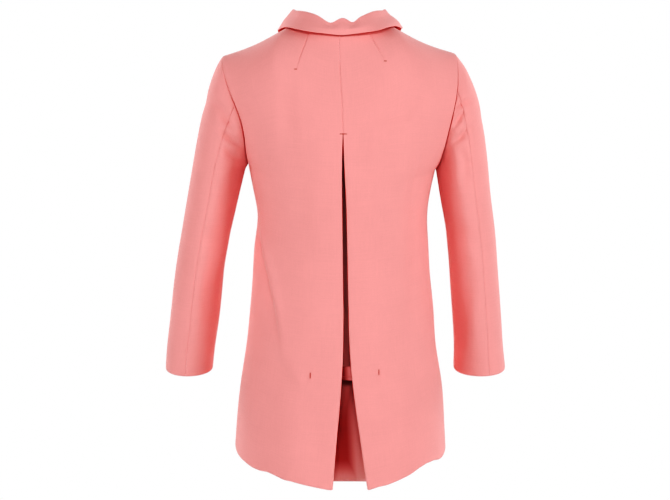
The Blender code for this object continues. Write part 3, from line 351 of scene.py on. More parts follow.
# ------------------------------------------------------------------ sewing
THREAD_SIDES = 6
THREAD_END = 0.12                 # radians of a half turn in which a thread's end closes
THREAD_TAPER = 0.35
TACK_THREAD = 0.00032             # its radius; the next four are in such radii
TACK_PITCH = 2.1
TACK_REACH = 3.2
TACK_LAID_LIFT = 0.3
TACK_STITCH_LIFT = 1.1
TACK_FILLED = 0.46                # the stitches run to this share of the length, both ways
TACK_POINTS = (8, 7)              # of a laid thread and of a stitch
Tack = namedtuple("Tack", "name x z length upright")
TACKS = [
    Tack("pleat_top", -0.0035, -0.1795, 0.0125, False),
    Tack("stay_left", 0.0535, -0.5965, 0.0100, True),
    Tack("stay_right", -0.0650, -0.5910, 0.0100, True),
    Tack("dart_left_end", 0.0778, -0.0705, 0.0050, False),
    Tack("dart_right_end", -0.0752, -0.0568, 0.0050, False),
]
STITCH_PITCH = 0.0030
STITCH_SHARE = 0.82               # of the pitch that shows as thread
STITCH_LIFT = 0.00005
STITCH_THREAD = 0.00022
STITCH_POINTS = 5
STAY_STITCHES = {"208": 0.0208, "229": 0.0229}    # below the stay's upper edge
STAY_STITCH_INSET = 0.002         # from its ends
BUTTON_THREAD = 0.00045
BUTTON_THREAD_DEPTH = 0.0011      # from the rim of the face in to the hollow with the holes
BUTTON_THREAD_DIVE = 0.0014       # at its ends, into the holes
BUTTON_THREAD_FLAT = 6            # the larger, the nearer to its ends it dives
BUTTON_THREAD_CROWN = 0.0005
BUTTON_THREAD_POINTS = 11
SLOT_REACH = 0.0125               # of a buttonhole, to each side
SLOT_PITCH = 0.0007
SLOT_STITCH = (0.0003, 0.0019)    # from the slot outwards
SLOT_LIFT = 0.00012
SLOT_THREAD = 0.00030
SLOT_POINTS = 4

# ------------------------------------------------------------------ smooth readings of the tables
def natural_curve(places, values):
    """A curve with no corners through the given points, level beyond both ends."""
    places = np.asarray(places, float)
    values = np.asarray(values, float)
    if places[0] > places[-1]:
        places, values = places[::-1], values[::-1]
    steps = np.diff(places)
    slopes = np.diff(values) / steps
    count = len(places)
    matrix = np.eye(count)
    right = np.zeros(count)
    for i in range(1, count - 1):
        matrix[i, i - 1:i + 2] = steps[i - 1], 2.0 * (steps[i - 1] + steps[i]), steps[i]
        right[i] = 6.0 * (slopes[i] - slopes[i - 1])
    bends = np.linalg.solve(matrix, right)

    def read(at):
        at = np.clip(np.asarray(at, float), places[0], places[-1])
        i = np.clip(np.searchsorted(places, at) - 1, 0, count - 2)
        ahead = places[i + 1] - at
        behind = at - places[i]
        return ((bends[i] * ahead ** 3 + bends[i + 1] * behind ** 3) / (6.0 * steps[i])
                + (values[i] / steps[i] - bends[i] * steps[i] / 6.0) * ahead
                + (values[i + 1] / steps[i] - bends[i + 1] * steps[i] / 6.0) * behind)

    return read


def column(table, place, value):
    """The smooth reading of one named column of a table against another."""
    return natural_curve([getattr(row, place) for row in table], [getattr(row, value) for row in table])


def smooth_step(value):
    value = np.clip(value, 0.0, 1.0)
    return value * value * (3.0 - 2.0 * value)


def rising(value, start, blend):
    """From 0 at the start to 1 after the blend."""
    return smooth_step((value - start) / blend)


def points(x, y, z):
    return np.stack(np.broadcast_arrays(x, y, z), axis=-1).astype(float)


SIGNS = {"left": 1.0, "right": -1.0}
OTHER = {"left": "right", "right": "left"}
FACES = {"back": 1.0, "front": -1.0}
DEPTH = {face: column(CENTRES, "height", face) for face in FACES}
HALF_WIDTH = {side: column(SIDES, "height", side) for side in SIGNS}
PLEAT_EDGE = {side: column(PLEATS, "height", side) for side in SIGNS}
LOOP_WIDTH = {(side, face): column(LOOPS, "angle", side + "_" + face)
              for side in SIGNS for face in FACES}
SPLAY = column(LOOPS, "angle", "splay")


# ------------------------------------------------------------------ body surface
def loop_angle(side, face, row):
    """Angle round the armhole, 0 at the shoulder tip and 180 at the underarm, at an armhole row."""
    hole = ARMHOLES[side]
    seam_row, seam_angle = BACK_SEAM_ROW, hole.back_seam
    if face == "front":
        seam_row, seam_angle = FRONT_SEAM_ROW, hole.front_seam
    return natural_curve([0.0, seam_row, ARMHOLE_ROWS], [0.0, seam_angle, 180.0])(row)


def armhole_point(side, face, row):
    hole = ARMHOLES[side]
    angle = loop_angle(side, face, row)
    depth = hole.back_depth if face == "back" else hole.front_depth
    return points(SIGNS[side] * LOOP_WIDTH[side, face](angle),
                  FACES[face] * depth * np.sin(np.radians(angle)),
                  hole.tip + (hole.pit - hole.tip) * (1.0 - np.cos(np.radians(angle))) / 2.0)


def edge_point(side, face, row):
    """The outer edge of a body panel: round the armhole, then down the side seam."""
    if row <= ARMHOLE_ROWS:
        return armhole_point(side, face, row)
    hole = ARMHOLES[side]
    height = hole.pit + (hole.side_hem - hole.pit) * (row - ARMHOLE_ROWS) / SKIRT_ROWS
    return points(SIGNS[side] * HALF_WIDTH[side](height), 0.0, height)


def centre_height(face, row):
    neck, hem = BACK_NECK_HEIGHT, BACK_HEM_HEIGHT
    if face == "front":
        neck, hem = FRONT_NECK_HEIGHT, FRONT_HEM_HEIGHT
    if row <= ARMHOLE_ROWS:
        return neck + (UNDERARM_ROW_HEIGHT - neck) * row / ARMHOLE_ROWS
    return UNDERARM_ROW_HEIGHT + (hem - UNDERARM_ROW_HEIGHT) * (row - ARMHOLE_ROWS) / SKIRT_ROWS


def centre_point(side, face, row):
    """The inner edge of a body panel: the centre seam and the folded pleat edge, or the centre front."""
    height = centre_height(face, row)
    across = 0.0
    if face == "back" and row <= TACK_ROW:
        across = (PLEAT_EDGE["left"](height) + PLEAT_EDGE["right"](height)) / 2.0
    elif face == "back":
        across = PLEAT_EDGE[side](height) + SIGNS[side] * fold_bulge(row)
    return points(across, FACES[face] * DEPTH[face](height), height)


def fold_bulge(row):
    """How far a pleat fold rounds out past the flat of the panel."""
    return PLEAT_ROUND * min(1.0, (row - TACK_ROW) / PLEAT_ROUND_ROWS)


def row_across(side, face, row, share):
    """One row of the body, from its centre (share 0) to its outer edge (share 1), seen from above."""
    start = centre_point(side, face, row)
    end = edge_point(side, face, row)
    angle = loop_angle(side, face, row) if row <= ARMHOLE_ROWS else 180.0
    rise = start[1] - end[1]
    handle_1 = start[:2] + [CENTRE_HANDLE * (end[0] - start[0]), 0.0]
    handle_2 = end[:2] + [-SIGNS[side] * SPLAY(angle) * SIDE_HANDLE * abs(rise), SIDE_HANDLE * rise]
    share = np.asarray(share, float)[..., None]
    back = 1.0 - share
    return (back ** 3 * start[:2] + 3.0 * back ** 2 * share * handle_1
            + 3.0 * back * share ** 2 * handle_2 + share ** 3 * end[:2])


NECK_SHARE = NECK_COLUMNS / (NECK_COLUMNS + SHOULDER_COLUMNS)


def top_edge(side, face, share):
    """The neckline, then the shoulder seam."""
    share = np.asarray(share, float)
    turn = np.clip(share / NECK_SHARE, 0.0, 1.0)
    neck = centre_point(side, face, 0)
    round_neck = math.pi / 2.0 * turn
    across = neck[0] + (SIGNS[side] * NECK_HALF - neck[0]) * np.sin(round_neck)
    height = NECK_POINT_HEIGHT + (neck[2] - NECK_POINT_HEIGHT) * np.cos(round_neck) ** NECK_DROP
    tip = edge_point(side, face, 0)
    along = np.clip((share - NECK_SHARE) / (1.0 - NECK_SHARE), 0.0, 1.0)
    across = across + (tip[0] - SIGNS[side] * NECK_HALF) * along
    height = height + (tip[2] - NECK_POINT_HEIGHT) * along - SHOULDER_SAG * np.sin(math.pi * along)
    return points(across, neck[1] * np.cos(round_neck), height)


def body_row(side, face, row, share):
    """The right side of a body panel along one row."""
    share = np.asarray(share, float)
    flat = row_across(side, face, row, share)
    centre, edge = centre_height(face, row), edge_point(side, face, row)[2]
    low = centre + (edge - centre) * share ** HEM_CURVE
    if row >= ARMHOLE_ROWS:
        return points(flat[..., 0], flat[..., 1], low)
    fall = row / ARMHOLE_ROWS
    top = top_edge(side, face, share)
    hold = 1.0 - math.sin(math.pi / 2.0 * min(1.0, fall / SHOULDER_ROUND))
    flat = flat + hold * (top[..., :2] - row_across(side, face, 0, share))
    over = smooth_step(share / NECK_SHARE)
    high = (top[..., 2] + (1.0 - over) * (centre - centre_height(face, 0))
            + over * (edge - edge_point(side, face, 0)[2]))
    blend = smooth_step(fall)
    return points(flat[..., 0], flat[..., 1], (1.0 - blend) * high + blend * low)


def row_at(side, face, row, across):
    """The row's point at a given x, read along the smooth row."""
    share = np.linspace(0.0, 1.0, FINE_STEPS + 1)
    line = body_row(side, face, row, share)
    order = np.argsort(line[:, 0])
    return points(across, np.interp(across, line[order, 0], line[order, 1]),
                  np.interp(across, line[order, 0], line[order, 2]))


# ------------------------------------------------------------------ folds and creases
def along_path(path, x, z):
    """Distance from each (x, z) to a path, and how far along the path the nearest place is."""
    path = np.asarray(path, float)
    lengths = np.linalg.norm(np.diff(path, axis=0), axis=1)
    before = np.append(0.0, np.cumsum(lengths)[:-1])
    best = np.full(np.shape(x), np.inf)
    place = np.zeros(np.shape(x))
    for start, end, length, passed in zip(path[:-1], path[1:], lengths, before):
        way = (end - start) / length
        run = np.clip((x - start[0]) * way[0] + (z - start[1]) * way[1], 0.0, length)
        away = np.hypot(x - start[0] - run * way[0], z - start[1] - run * way[1])
        place = np.where(away < best, (passed + run) / lengths.sum(), place)
        best = np.minimum(best, away)
    return best, place


def folded(folds, piece, grid):
    """How far the cloth stands out or sinks in at each place, all the folds of a piece together."""
    total = np.zeros(grid.shape[:2])
    for fold in folds:
        if fold.piece == piece:
            away, place = along_path(fold.path, grid[..., 0], grid[..., 2])
            fade = np.sin(math.pi * (FOLD_END + (1.0 - 2.0 * FOLD_END) * place))
            total = total + fold.height * np.exp(-(away / fold.width) ** 2) * fade
    return total


def let_through(free, from_centre, from_side):
    """How much of a fold is left near the centre and near the side seam."""
    return (rising(from_centre, free.centre, free.centre_blend)
            * rising(from_side, free.side, free.side_blend))


# ------------------------------------------------------------------ cloth as a shell
EDGE_PLACES = {"top": np.s_[0, :], "bottom": np.s_[-1, :], "first": np.s_[:, 0], "last": np.s_[:, -1]}


class Cloth:
    """Points on a piece's right side and the quads between them, facing out."""

    def __init__(self, name):
        self.name = name
        self.points = np.zeros((0, 3))
        self.flat = np.zeros((0, 2))
        self.quads = np.zeros((0, 4), int)
        self.thick = np.zeros(0)
        self.sewn = np.zeros(0, bool)

    def add_grid(self, grid, turned=False, joined=None, thick=SKIN, seams=()):
        """Adds a grid; joined gives the indices of a first column that is already there."""
        rows, columns = grid.shape[:2]
        index = len(self.points) + np.arange(rows * columns).reshape(rows, columns)
        sewn = np.zeros((rows, columns), bool)
        for seam in seams:
            sewn[EDGE_PLACES[seam]] = True
        across = np.linalg.norm(np.diff(grid, axis=1), axis=2).mean(axis=0)
        down = np.linalg.norm(np.diff(grid, axis=0), axis=2).mean(axis=1)
        lay = np.meshgrid(np.append(0.0, np.cumsum(across)), np.append(0.0, np.cumsum(down)))
        self.points = np.concatenate([self.points, grid.reshape(-1, 3)])
        self.flat = np.concatenate([self.flat, np.stack(lay, axis=-1).reshape(-1, 2)])
        self.thick = np.concatenate([self.thick, np.broadcast_to(thick, (rows, columns)).ravel()])
        self.sewn = np.concatenate([self.sewn, sewn.ravel()])
        whole = index if joined is None else np.concatenate([joined[:, None], index], axis=1)
        quads = np.stack([whole[:-1, :-1], whole[1:, :-1], whole[1:, 1:], whole[:-1, 1:]], axis=-1)
        quads = quads.reshape(-1, 4)
        self.quads = np.concatenate([self.quads, quads[:, ::-1] if turned else quads])
        return index

    def normals(self):
        facing = np.cross(self.points[self.quads[:, 2]] - self.points[self.quads[:, 0]],
                          self.points[self.quads[:, 3]] - self.points[self.quads[:, 1]])
        total = np.zeros_like(self.points)
        for corner in range(4):
            np.add.at(total, self.quads[:, corner], facing)
        return total / np.maximum(np.linalg.norm(total, axis=1, keepdims=True), TINY)

    def rim(self):
        """Directed edges that belong to one quad only."""
        sides = np.stack([self.quads, np.roll(self.quads, -1, axis=1)], axis=-1)
        edges = {tuple(edge) for edge in sides.reshape(-1, 2).tolist()}
        return sorted(edge for edge in edges if edge[::-1] not in edges)


def running_length(grid, axis):
    """Distance of each point from the grid's first row (axis 0) or first column (axis 1)."""
    steps = np.linalg.norm(np.diff(grid, axis=axis), axis=2)
    start = [(0, 0), (0, 0)]
    start[axis] = (1, 0)
    return np.pad(np.cumsum(steps, axis=axis), start)


def edge_distance(grid):
    """Distance of each point from each of the grid's four edges."""
    down, across = running_length(grid, 0), running_length(grid, 1)
    return {"top": down, "bottom": down[-1:] - down, "first": across, "last": across[:, -1:] - across}


def seam_drop(grid, seams):
    """How far each point sinks where the cloth rolls into the seams along the named edges."""
    away = edge_distance(grid)
    drop = np.zeros(grid.shape[:2])
    for edge in seams:
        drop = np.maximum(drop, SEAM_DROP * np.exp(-(away[edge] / SEAM_ROLL) ** 2))
    return drop


def piece_object(name, places, faces, finish):
    """A piece of the jacket from its points and faces."""
    mesh = bpy.data.meshes.new(name)
    mesh.from_pydata(places, [], faces)
    mesh.validate()
    mesh.shade_smooth()
    mesh.materials.append(finish)
    made = bpy.data.objects.new(name, mesh)
    bpy.context.scene.collection.objects.link(made)
    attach(made, "root")
    return made


def unit(ways):
    return ways / np.maximum(np.linalg.norm(ways, axis=1, keepdims=True), TINY)


def dress(cloth, finish):
    """Puts the cloth with its thickness, rounded along its rim, in place of its solid."""
    place = cloth.points.copy()
    rim = cloth.rim()
    on_rim = np.unique(np.array(rim))
    centres = place[cloth.quads].mean(axis=1)
    step = np.zeros_like(place)
    for corner in range(4):
        np.add.at(step, cloth.quads[:, corner], unit(centres - place[cloth.quads[:, corner]]))
    facing = cloth.normals()
    inward = step[on_rim] - facing[on_rim] * (step[on_rim] * facing[on_rim]).sum(axis=1, keepdims=True)
    inward = unit(inward)
    place[on_rim] += inward * SEAM_INSET
    thick = cloth.thick[:, None]
    inner = place - facing * thick
    # the outer and inner edges are drawn in, and a middle line stands at the very edge
    middle = place[on_rim] - facing[on_rim] * thick[on_rim] * 0.5
    round_in = inward * np.where(cloth.sewn[on_rim], 0.0, cloth.thick[on_rim] * EDGE_ROUND)[:, None]
    place[on_rim] += round_in
    inner[on_rim] += round_in
    count = len(place)
    where = {int(i): 2 * count + n for n, i in enumerate(on_rim)}
    faces = cloth.quads.tolist() + (cloth.quads[:, ::-1] + count).tolist()
    for a, b in rim:
        faces.append([b, a, where[a], where[b]])
        faces.append([where[b], where[a], a + count, b + count])
    places = np.concatenate([place, inner, middle]).tolist()
    made = piece_object(cloth.name + "_cloth", places, faces, finish)
    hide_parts(cloth.name)
    corners = np.zeros(len(made.data.loops), int)
    made.data.loops.foreach_get("vertex_index", corners)
    lay = np.concatenate([cloth.flat, cloth.flat, cloth.flat[on_rim]])
    uv = made.data.uv_layers.new(name="cloth")
    uv.data.foreach_set("uv", lay[corners].ravel().astype(np.float32))
    return made


# ------------------------------------------------------------------ body panels
def fine_shares():
    neck, shoulder = BODY_COLUMNS
    near = np.array(NEAR_EDGE)
    dart = DART_MIDDLE + np.array(DART_COLUMNS)
    return np.unique(np.round(np.concatenate([
        np.linspace(0.0, NECK_SHARE, neck + 1), np.linspace(NECK_SHARE, 1.0, shoulder + 1),
        near, 1.0 - near, dart]), DECIMALS))


def fine_rows():
    upper, lower = BODY_ROW_SPLITS
    return np.unique(np.round(np.concatenate([
        np.linspace(0.0, ARMHOLE_ROWS, upper * ARMHOLE_ROWS + 1),
        np.linspace(ARMHOLE_ROWS, LAST_ROW, lower * SKIRT_ROWS + 1), NEAR_TOP]), DECIMALS))


def beside_dart(side, x, z):
    """How far outside the dart's line a place lies, level across."""
    across, heights = zip(*reversed(DARTS[side]))
    return (x - np.interp(z, heights, across)) * SIGNS[side]


def dart_share(side, row):
    """How far across its panel the dart lies at one row; below its end it keeps its last place."""
    end = DARTS[side][-1][1]
    tries = np.linspace(*DART_TRIES)
    for at in np.linspace(row, 0.0, DART_STEPS_BACK):
        line = body_row(side, "back", at, tries)
        if line[:, 2].min() > end - DART_PAST_END:
            break
    return float(np.interp(0.0, beside_dart(side, line[:, 0], line[:, 2]), tries))


def dart_shares(side):
    rows = np.linspace(0.0, ARMHOLE_ROWS, DART_ROWS)
    return rows, np.array([dart_share(side, row) for row in rows])


DART_SHARES = {side: dart_shares(side) for side in SIGNS}


def columns_at(side, face, row, shares):
    """The columns of one row; on the backs they are drawn close together along the dart."""
    if face == "front":
        return shares
    place = float(np.interp(row, *DART_SHARES[side]))
    return np.where(shares < DART_MIDDLE, shares * place / DART_MIDDLE,
                    1.0 - (1.0 - shares) * (1.0 - place) / (1.0 - DART_MIDDLE))


def dart_sink(side, grid):
    """The stitched line of the dart, and the fold of cloth that lies beside it underneath."""
    away, place = along_path(DARTS[side], grid[..., 0], grid[..., 2])
    outer = rising(beside_dart(side, grid[..., 0], grid[..., 2]), -DART_GROOVE, 2.0 * DART_GROOVE)
    ridge = DART_RISE * (1.0 - outer) * np.exp(-away / DART_FADE)
    groove = DART_DEPTH * np.exp(-(away / DART_GROOVE) ** 2)
    return rising(1.0 - place, 0.0, DART_END) * (groove - ridge)


def hem_shift(face, across, above_hem):
    """How far each point near the hem moves up, so that the hem runs as it hangs."""
    shift = np.interp(across, *zip(*HEM_SHIFTS))
    if face == "front":
        shift = shift * rising(np.abs(across), *HEM_SHIFT_FRONT)
    return shift * smooth_step(1.0 - above_hem / HEM_SHIFT_REACH)


def pocket_sink(grid):
    """The front's edge stands back from the side seam along the pocket opening."""
    top, low = POCKET
    along = np.clip((top - grid[..., 2]) / (top - low), 0.0, 1.0)
    away = edge_distance(grid)["last"]
    opened = np.sin(math.pi * along) ** POCKET_FULLNESS
    return POCKET_SINK * opened * np.exp(-(away / POCKET_REACH) ** 2)


def thickness_of(grid, face):
    away = edge_distance(grid)
    thick = np.where(away["bottom"] < HEM_DEPTH, DOUBLE_SKIN, SKIN)
    if face == "front":
        thick = np.where(away["first"] < FACING_DEPTH, DOUBLE_SKIN, thick)
    return thick


def hanging_panel(side, face, rows, shares):
    """A panel as it hangs, still without folds: a front with its lap, a back with its leaning pleat."""
    grid = np.array([body_row(side, face, row, columns_at(side, face, row, shares)) for row in rows])
    if face == "front":
        past = -SIGNS[side] * np.linspace(LAP, 0.0, LAP_STEPS + 1)[:-1]
        lap = np.array([row_at(OTHER[side], "front", row, past) for row in rows])
        grid = np.concatenate([lap, grid], axis=1)
    else:
        near = np.exp(-(edge_distance(grid)["first"] / PLEAT_LEAN_REACH) ** 2)
        grid[..., 0] += np.interp(grid[..., 2], *zip(*PLEAT_LEAN[side])) * near
    grid[..., 2] += hem_shift(face, grid[..., 0], edge_distance(grid)["bottom"])
    return grid


def body_panel(side, face):
    """A panel's cloth, and its neckline before the seams roll in."""
    name = face + "_" + side
    at_back = face == "back"
    shares, rows = fine_shares(), fine_rows()
    turned = SIGNS[side] * FACES[face] > 0
    grid = hanging_panel(side, face, rows, shares)
    draft = Cloth(name)
    draft.add_grid(grid, turned)
    facing = draft.normals().reshape(grid.shape)
    from_centre = grid[..., 0] * SIGNS[side]
    from_side = HALF_WIDTH[side](grid[..., 2]) - from_centre
    distance = (folded(FOLDS, name, grid) * let_through(FOLD_FREE, from_centre, from_side)
                + folded(CREASES, name, grid) * let_through(CREASE_FREE, from_centre, from_side))
    if name == "front_left":
        low, high = LAP_BLEND
        distance = distance - LAP_SETBACK * smooth_step((high - from_centre) / (high - low))
    distance = distance - (dart_sink(side, grid) if at_back else pocket_sink(grid))
    grid = grid + facing * distance[..., None]
    columns = columns_at(side, face, 0.0, shares)
    at_neck = columns <= NECK_SHARE + ROUNDING
    neck = at_stations(grid[0, -len(shares):][at_neck], columns[at_neck] / NECK_SHARE)
    seams = ["top", "last"]
    drop = seam_drop(grid, seams)
    if at_back:
        seams.append("first")
        closed = rows <= TACK_ROW
        drop[closed] = seam_drop(grid, seams)[closed]
    grid = grid - facing * drop[..., None]
    cloth = Cloth(name)
    index = cloth.add_grid(grid, turned, thick=thickness_of(grid, face), seams=seams)
    if at_back:
        opened = rows >= TACK_ROW
        cloth.add_grid(return_grid(side, rows[opened], grid[opened, 0]), not turned, joined=index[opened, 0])
    return cloth, neck


def return_grid(side, rows, edges):
    """The fold below the tack and the part of the back that runs outwards again, inside."""
    turns = np.radians(np.linspace(0.0, 180.0, RETURN_STEPS + 1))[1:]
    lines = []
    for row, edge in zip(rows, edges):
        turn = points(edge[0] - SIGNS[side] * fold_bulge(row) * np.sin(turns),
                      edge[1] - PLEAT_ROUND * (1.0 - np.cos(turns)), edge[2])
        across = np.linspace(edge[0], RETURN_ENDS[side], RETURN_STEPS + 1)[1:]
        under = row_at(side, "back", row, across) - [0.0, 2.0 * PLEAT_ROUND, 0.0]
        above_hem = centre_height("back", row) - centre_height("back", LAST_ROW)
        under[:, 2] += hem_shift("back", across, above_hem)
        lines.append(np.concatenate([turn, under]))
    return np.array(lines)


def back_line(row, across):
    """The two backs' right side at one row, taken straight across the open pleat."""
    left, right = centre_point("left", "back", row), centre_point("right", "back", row)
    return np.where((across > left[0])[:, None], row_at("left", "back", row, across),
                    np.where((across < right[0])[:, None], row_at("right", "back", row, across),
                             points(across, left[1], left[2])))


def pleat_underlay():
    """The panel behind the pleat: joined to the two returns' ends, with a valley between them."""
    wide, tall = UNDERLAY_POINTS
    ends = RETURN_ENDS["left"] - UNDERLAY_INSET, RETURN_ENDS["right"] + UNDERLAY_INSET
    across = np.linspace(*ends, wide)
    inside = np.minimum(ends[0] - across, across - ends[1])
    valley = UNDERLAY_DEPTH * rising(inside, UNDERLAY_LAP, UNDERLAY_SLOPE)
    short = UNDERLAY_SHORT / (centre_height("back", LAST_ROW - 1) - centre_height("back", LAST_ROW))
    lines = []
    for row in np.linspace(TACK_ROW, LAST_ROW - short, tall):
        opened = rising(row, TACK_ROW, UNDERLAY_FULL_ROWS)
        sink = valley * (UNDERLAY_TOP_DEPTH + (1.0 - UNDERLAY_TOP_DEPTH) * opened)
        dip = UNDERLAY_DIP * rising(row, LAST_ROW - UNDERLAY_DIP_ROWS, UNDERLAY_DIP_ROWS)
        lines.append(back_line(row, across) - points(0.0, 2.0 * PLEAT_ROUND + LAYER_GAP + sink, dip * sink))
    cloth = Cloth("pleat_underlay")
    cloth.add_grid(np.array(lines))
    return cloth


def pleat_stay():
    """The strap that keeps the pleat from spreading, tacked inside both backs."""
    wide, tall = STAY_POINTS
    across = np.linspace(*STAY_ENDS, wide)
    slack = smooth_step(1.0 - ((across - across.mean()) / (across[0] - across.mean())) ** 2)
    rows = np.linspace(TACK_ROW, LAST_ROW, STAY_READINGS)
    depths = [-centre_height("back", row) for row in rows]
    lines = []
    for drop in np.linspace(0.0, STAY_HEIGHT, tall):
        line = back_line(np.interp(drop - STAY_TOP, depths, rows), across)
        line[:, 1] -= 2.0 * PLEAT_ROUND + LAYER_GAP + STAY_SLACK * slack
        line[:, 2] = STAY_TOP - drop - STAY_SAG * slack
        lines.append(line)
    cloth = Cloth("pleat_stay")
    cloth.add_grid(np.array(lines))
    return cloth


# ------------------------------------------------------------------ sleeves
RING_READ = {name: column(RINGS, "height", name) for name in Ring._fields[1:]}
CAP_READ = {name: column(CAPS, "angle", name) for name in Cap._fields[1:]}
FIRST_RING = RINGS[0].height
CUFF = RINGS[-1].height


def ring_point(side, height, angle):
    """Points on the sleeve's right side below the underarm; angle 0 is outwards and 90 is the back."""
    read = {name: RING_READ[name](height) for name in RING_READ}
    tilt = np.radians(read["tilt"])
    out = read[side + "_width"] * np.cos(np.radians(angle))
    turn = np.sin(np.radians(angle))
    near_cuff = smooth_step((CUFF + CUFF_REACH - height) / CUFF_REACH)
    square = np.sign(turn) * np.abs(turn) ** (1.0 - CUFF_SQUARE * near_cuff)
    return points(SIGNS[side] * (read[side] + out), read["forward"] + read["depth"] * turn * np.cos(tilt),
                  height - read["depth"] * square * np.sin(tilt))


def cap_point(side, start, angle, share):
    """Points between the armhole and the first ring of the sleeve."""
    end = ring_point(side, FIRST_RING, angle)
    below = ring_point(side, FIRST_RING - CAP_END_STEP, angle)
    way = points(*[CAP_READ[name](angle) for name in ("out", "back", "down")])
    way = way * [SIGNS[side], 1.0, 1.0] / np.linalg.norm(way)
    reach = np.linalg.norm(end - start)
    leave = way * reach * CAP_START_PULL
    arrive = (below - end) / np.linalg.norm(below - end) * reach * CAP_END_PULL
    t = np.asarray(share)[:, None]
    return ((2 * t ** 3 - 3 * t ** 2 + 1) * start + (t ** 3 - 2 * t ** 2 + t) * leave
            + (3 * t ** 2 - 2 * t ** 3) * end + (t ** 3 - t ** 2) * arrive)


def sleeve_line(side, face, row):
    """One line of points down the sleeve from the armhole to the cuff."""
    angle = float(loop_angle(side, face, row))
    angle = angle if face == "back" else 360.0 - angle
    shares = (np.arange(SLEEVE_CAP_STEPS) / SLEEVE_CAP_STEPS) ** CAP_CROWDING
    cap = cap_point(side, armhole_point(side, face, row), angle, shares)
    tube = ring_point(side, np.linspace(FIRST_RING, CUFF, SLEEVE_TUBE_STEPS + 1), angle)
    return np.concatenate([cap, tube])


def turned_in(side, grid):
    """How far the sleeve's inner side turns forward, below the armhole and above the cuff."""
    height = grid[..., 2]
    middle, width, depth, forward = [RING_READ[name](np.minimum(height, FIRST_RING))
                                     for name in (side, side + "_width", "depth", "forward")]
    inward = (middle - grid[..., 0] * SIGNS[side]) / width
    behind = (grid[..., 1] - forward) / depth
    along = rising(TURN_TOP - height, 0.0, TURN_TOP_BLEND) * rising(height - CUFF, *TURN_LOW)
    return TURN_IN * along * rising(inward, *TURN_INWARD) * rising(behind, *TURN_BEHIND)


def seam_to_seam(part):
    """The lines of one part of a sleeve, each as a face and an armhole row."""
    def run(face, start, end):
        steps = int(abs(end - start) * SLEEVE_LINE_SPLITS)
        rows = np.linspace(start, end, steps + 1)
        way = SLEEVE_SEAM_STEP * np.sign(end - start)
        if start in (BACK_SEAM_ROW, FRONT_SEAM_ROW):
            rows = np.insert(rows, 1, rows[0] + way)
        else:
            rows = np.insert(rows, steps, rows[-1] - way)
        return [(face, row) for row in rows]

    if part == "top":
        return run("back", BACK_SEAM_ROW, 0)[:-1] + run("front", 0, FRONT_SEAM_ROW)
    return run("front", FRONT_SEAM_ROW, ARMHOLE_ROWS)[:-1] + run("back", ARMHOLE_ROWS, BACK_SEAM_ROW)


def sleeve_panel(side, part):
    """The top or under sleeve, between the back seam and the front seam."""
    sleeve = "sleeve_" + side
    lines = seam_to_seam(part)
    grid = np.array([sleeve_line(side, face, row) for face, row in lines]).transpose(1, 0, 2)
    depth = edge_distance(grid)["top"]
    from_front = rising(grid[..., 1], -SLEEVE_FOLD_START, SLEEVE_FOLD_BLEND)
    height = (folded(FOLDS, sleeve, grid) * smooth_step(depth / SLEEVE_QUIET_REACH)
              + folded(CREASES, sleeve, grid) * smooth_step(depth / SLEEVE_CREASE_START)) * from_front
    angles = np.radians([float(loop_angle(side, face, row)) * FACES[face] for face, row in lines])
    out = points(SIGNS[side] * np.cos(angles), np.sin(angles), 0.0)
    middle, reach = CAP_PUFF_PLACE
    puff = CAP_PUFF[side] * np.exp(-((grid[..., 2] - middle) / reach) ** 2)
    puff = puff * smooth_step(depth / CAP_PUFF_START) * np.clip(np.cos(angles), 0.0, 1.0)
    seams = ("top", "first", "last")
    grid = grid + (height + puff - seam_drop(grid, seams))[..., None] * out
    grid[..., 1] -= turned_in(side, grid)
    hem = edge_distance(grid)["bottom"] < HEM_DEPTH
    cloth = Cloth(sleeve + "_" + part)
    cloth.add_grid(grid, side == "left", thick=np.where(hem, DOUBLE_SKIN, SKIN), seams=seams)
    return cloth


# ------------------------------------------------------------------ collar
COLLAR_TURNS = np.linspace(2.0, -2.0, 4 * NECK_COLUMNS + 1)    # a station at each neckline point
COLLAR_READ = {name: column(COLLARS, "turn", name)(np.abs(COLLAR_TURNS)) for name in Collar._fields[1:]}


def outward(line):
    """The level way out from the neck's axis at each point."""
    way = line * [1.0, 1.0, 0.0]
    return way / np.linalg.norm(way, axis=-1, keepdims=True)


def drawn_in():
    """How much nearer the neck the collar stands at each station than its table says."""
    start, stop = RIGHT_COLLAR_TURNS
    return RIGHT_COLLAR_IN * rising(-COLLAR_TURNS, *start) * (1.0 - rising(-COLLAR_TURNS, *stop))


def stand_top(base):
    """The outside of the stand's upper edge."""
    lean = COLLAR_READ["lean"] + drawn_in()
    return base + points(0.0, 0.0, COLLAR_READ["rise"]) - outward(base) * lean[:, None]


def collar_stand(base):
    top = stand_top(base)
    lines = [top + (base - top) * step / STAND_ROWS for step in range(STAND_ROWS + 1)]
    cloth = Cloth("collar_stand")
    cloth.add_grid(shaped_top(refine(np.array(lines), LEAF_SPLITS), 0.0, STAND_FOLLOWS), thick=DOUBLE_SKIN)
    return cloth


def collar_leaf(base, body):
    """The leaf: over the roll, then down and out to its edge, clear of what it lies on."""
    across = np.sign(COLLAR_TURNS) * (COLLAR_READ["edge_out"] - drawn_in())
    edge = points(across, COLLAR_READ["edge_back"], COLLAR_READ["edge_height"])
    out = outward(base)
    centres = stand_top(base) + out * (ROLL_RADIUS - WALL) + [0.0, 0.0, SEAM_GAP]
    grid = np.array([leaf_section(*station) for station in zip(centres, out, edge)]).transpose(1, 0, 2)
    lift_clear(grid, body)
    shaped = shaped_top(refine(grid, LEAF_SPLITS), ROLL_STEPS / (ROLL_STEPS + FALL_STEPS))
    cloth = Cloth("collar_leaf")
    cloth.add_grid(swelled(shaped), thick=DOUBLE_SKIN)
    return cloth


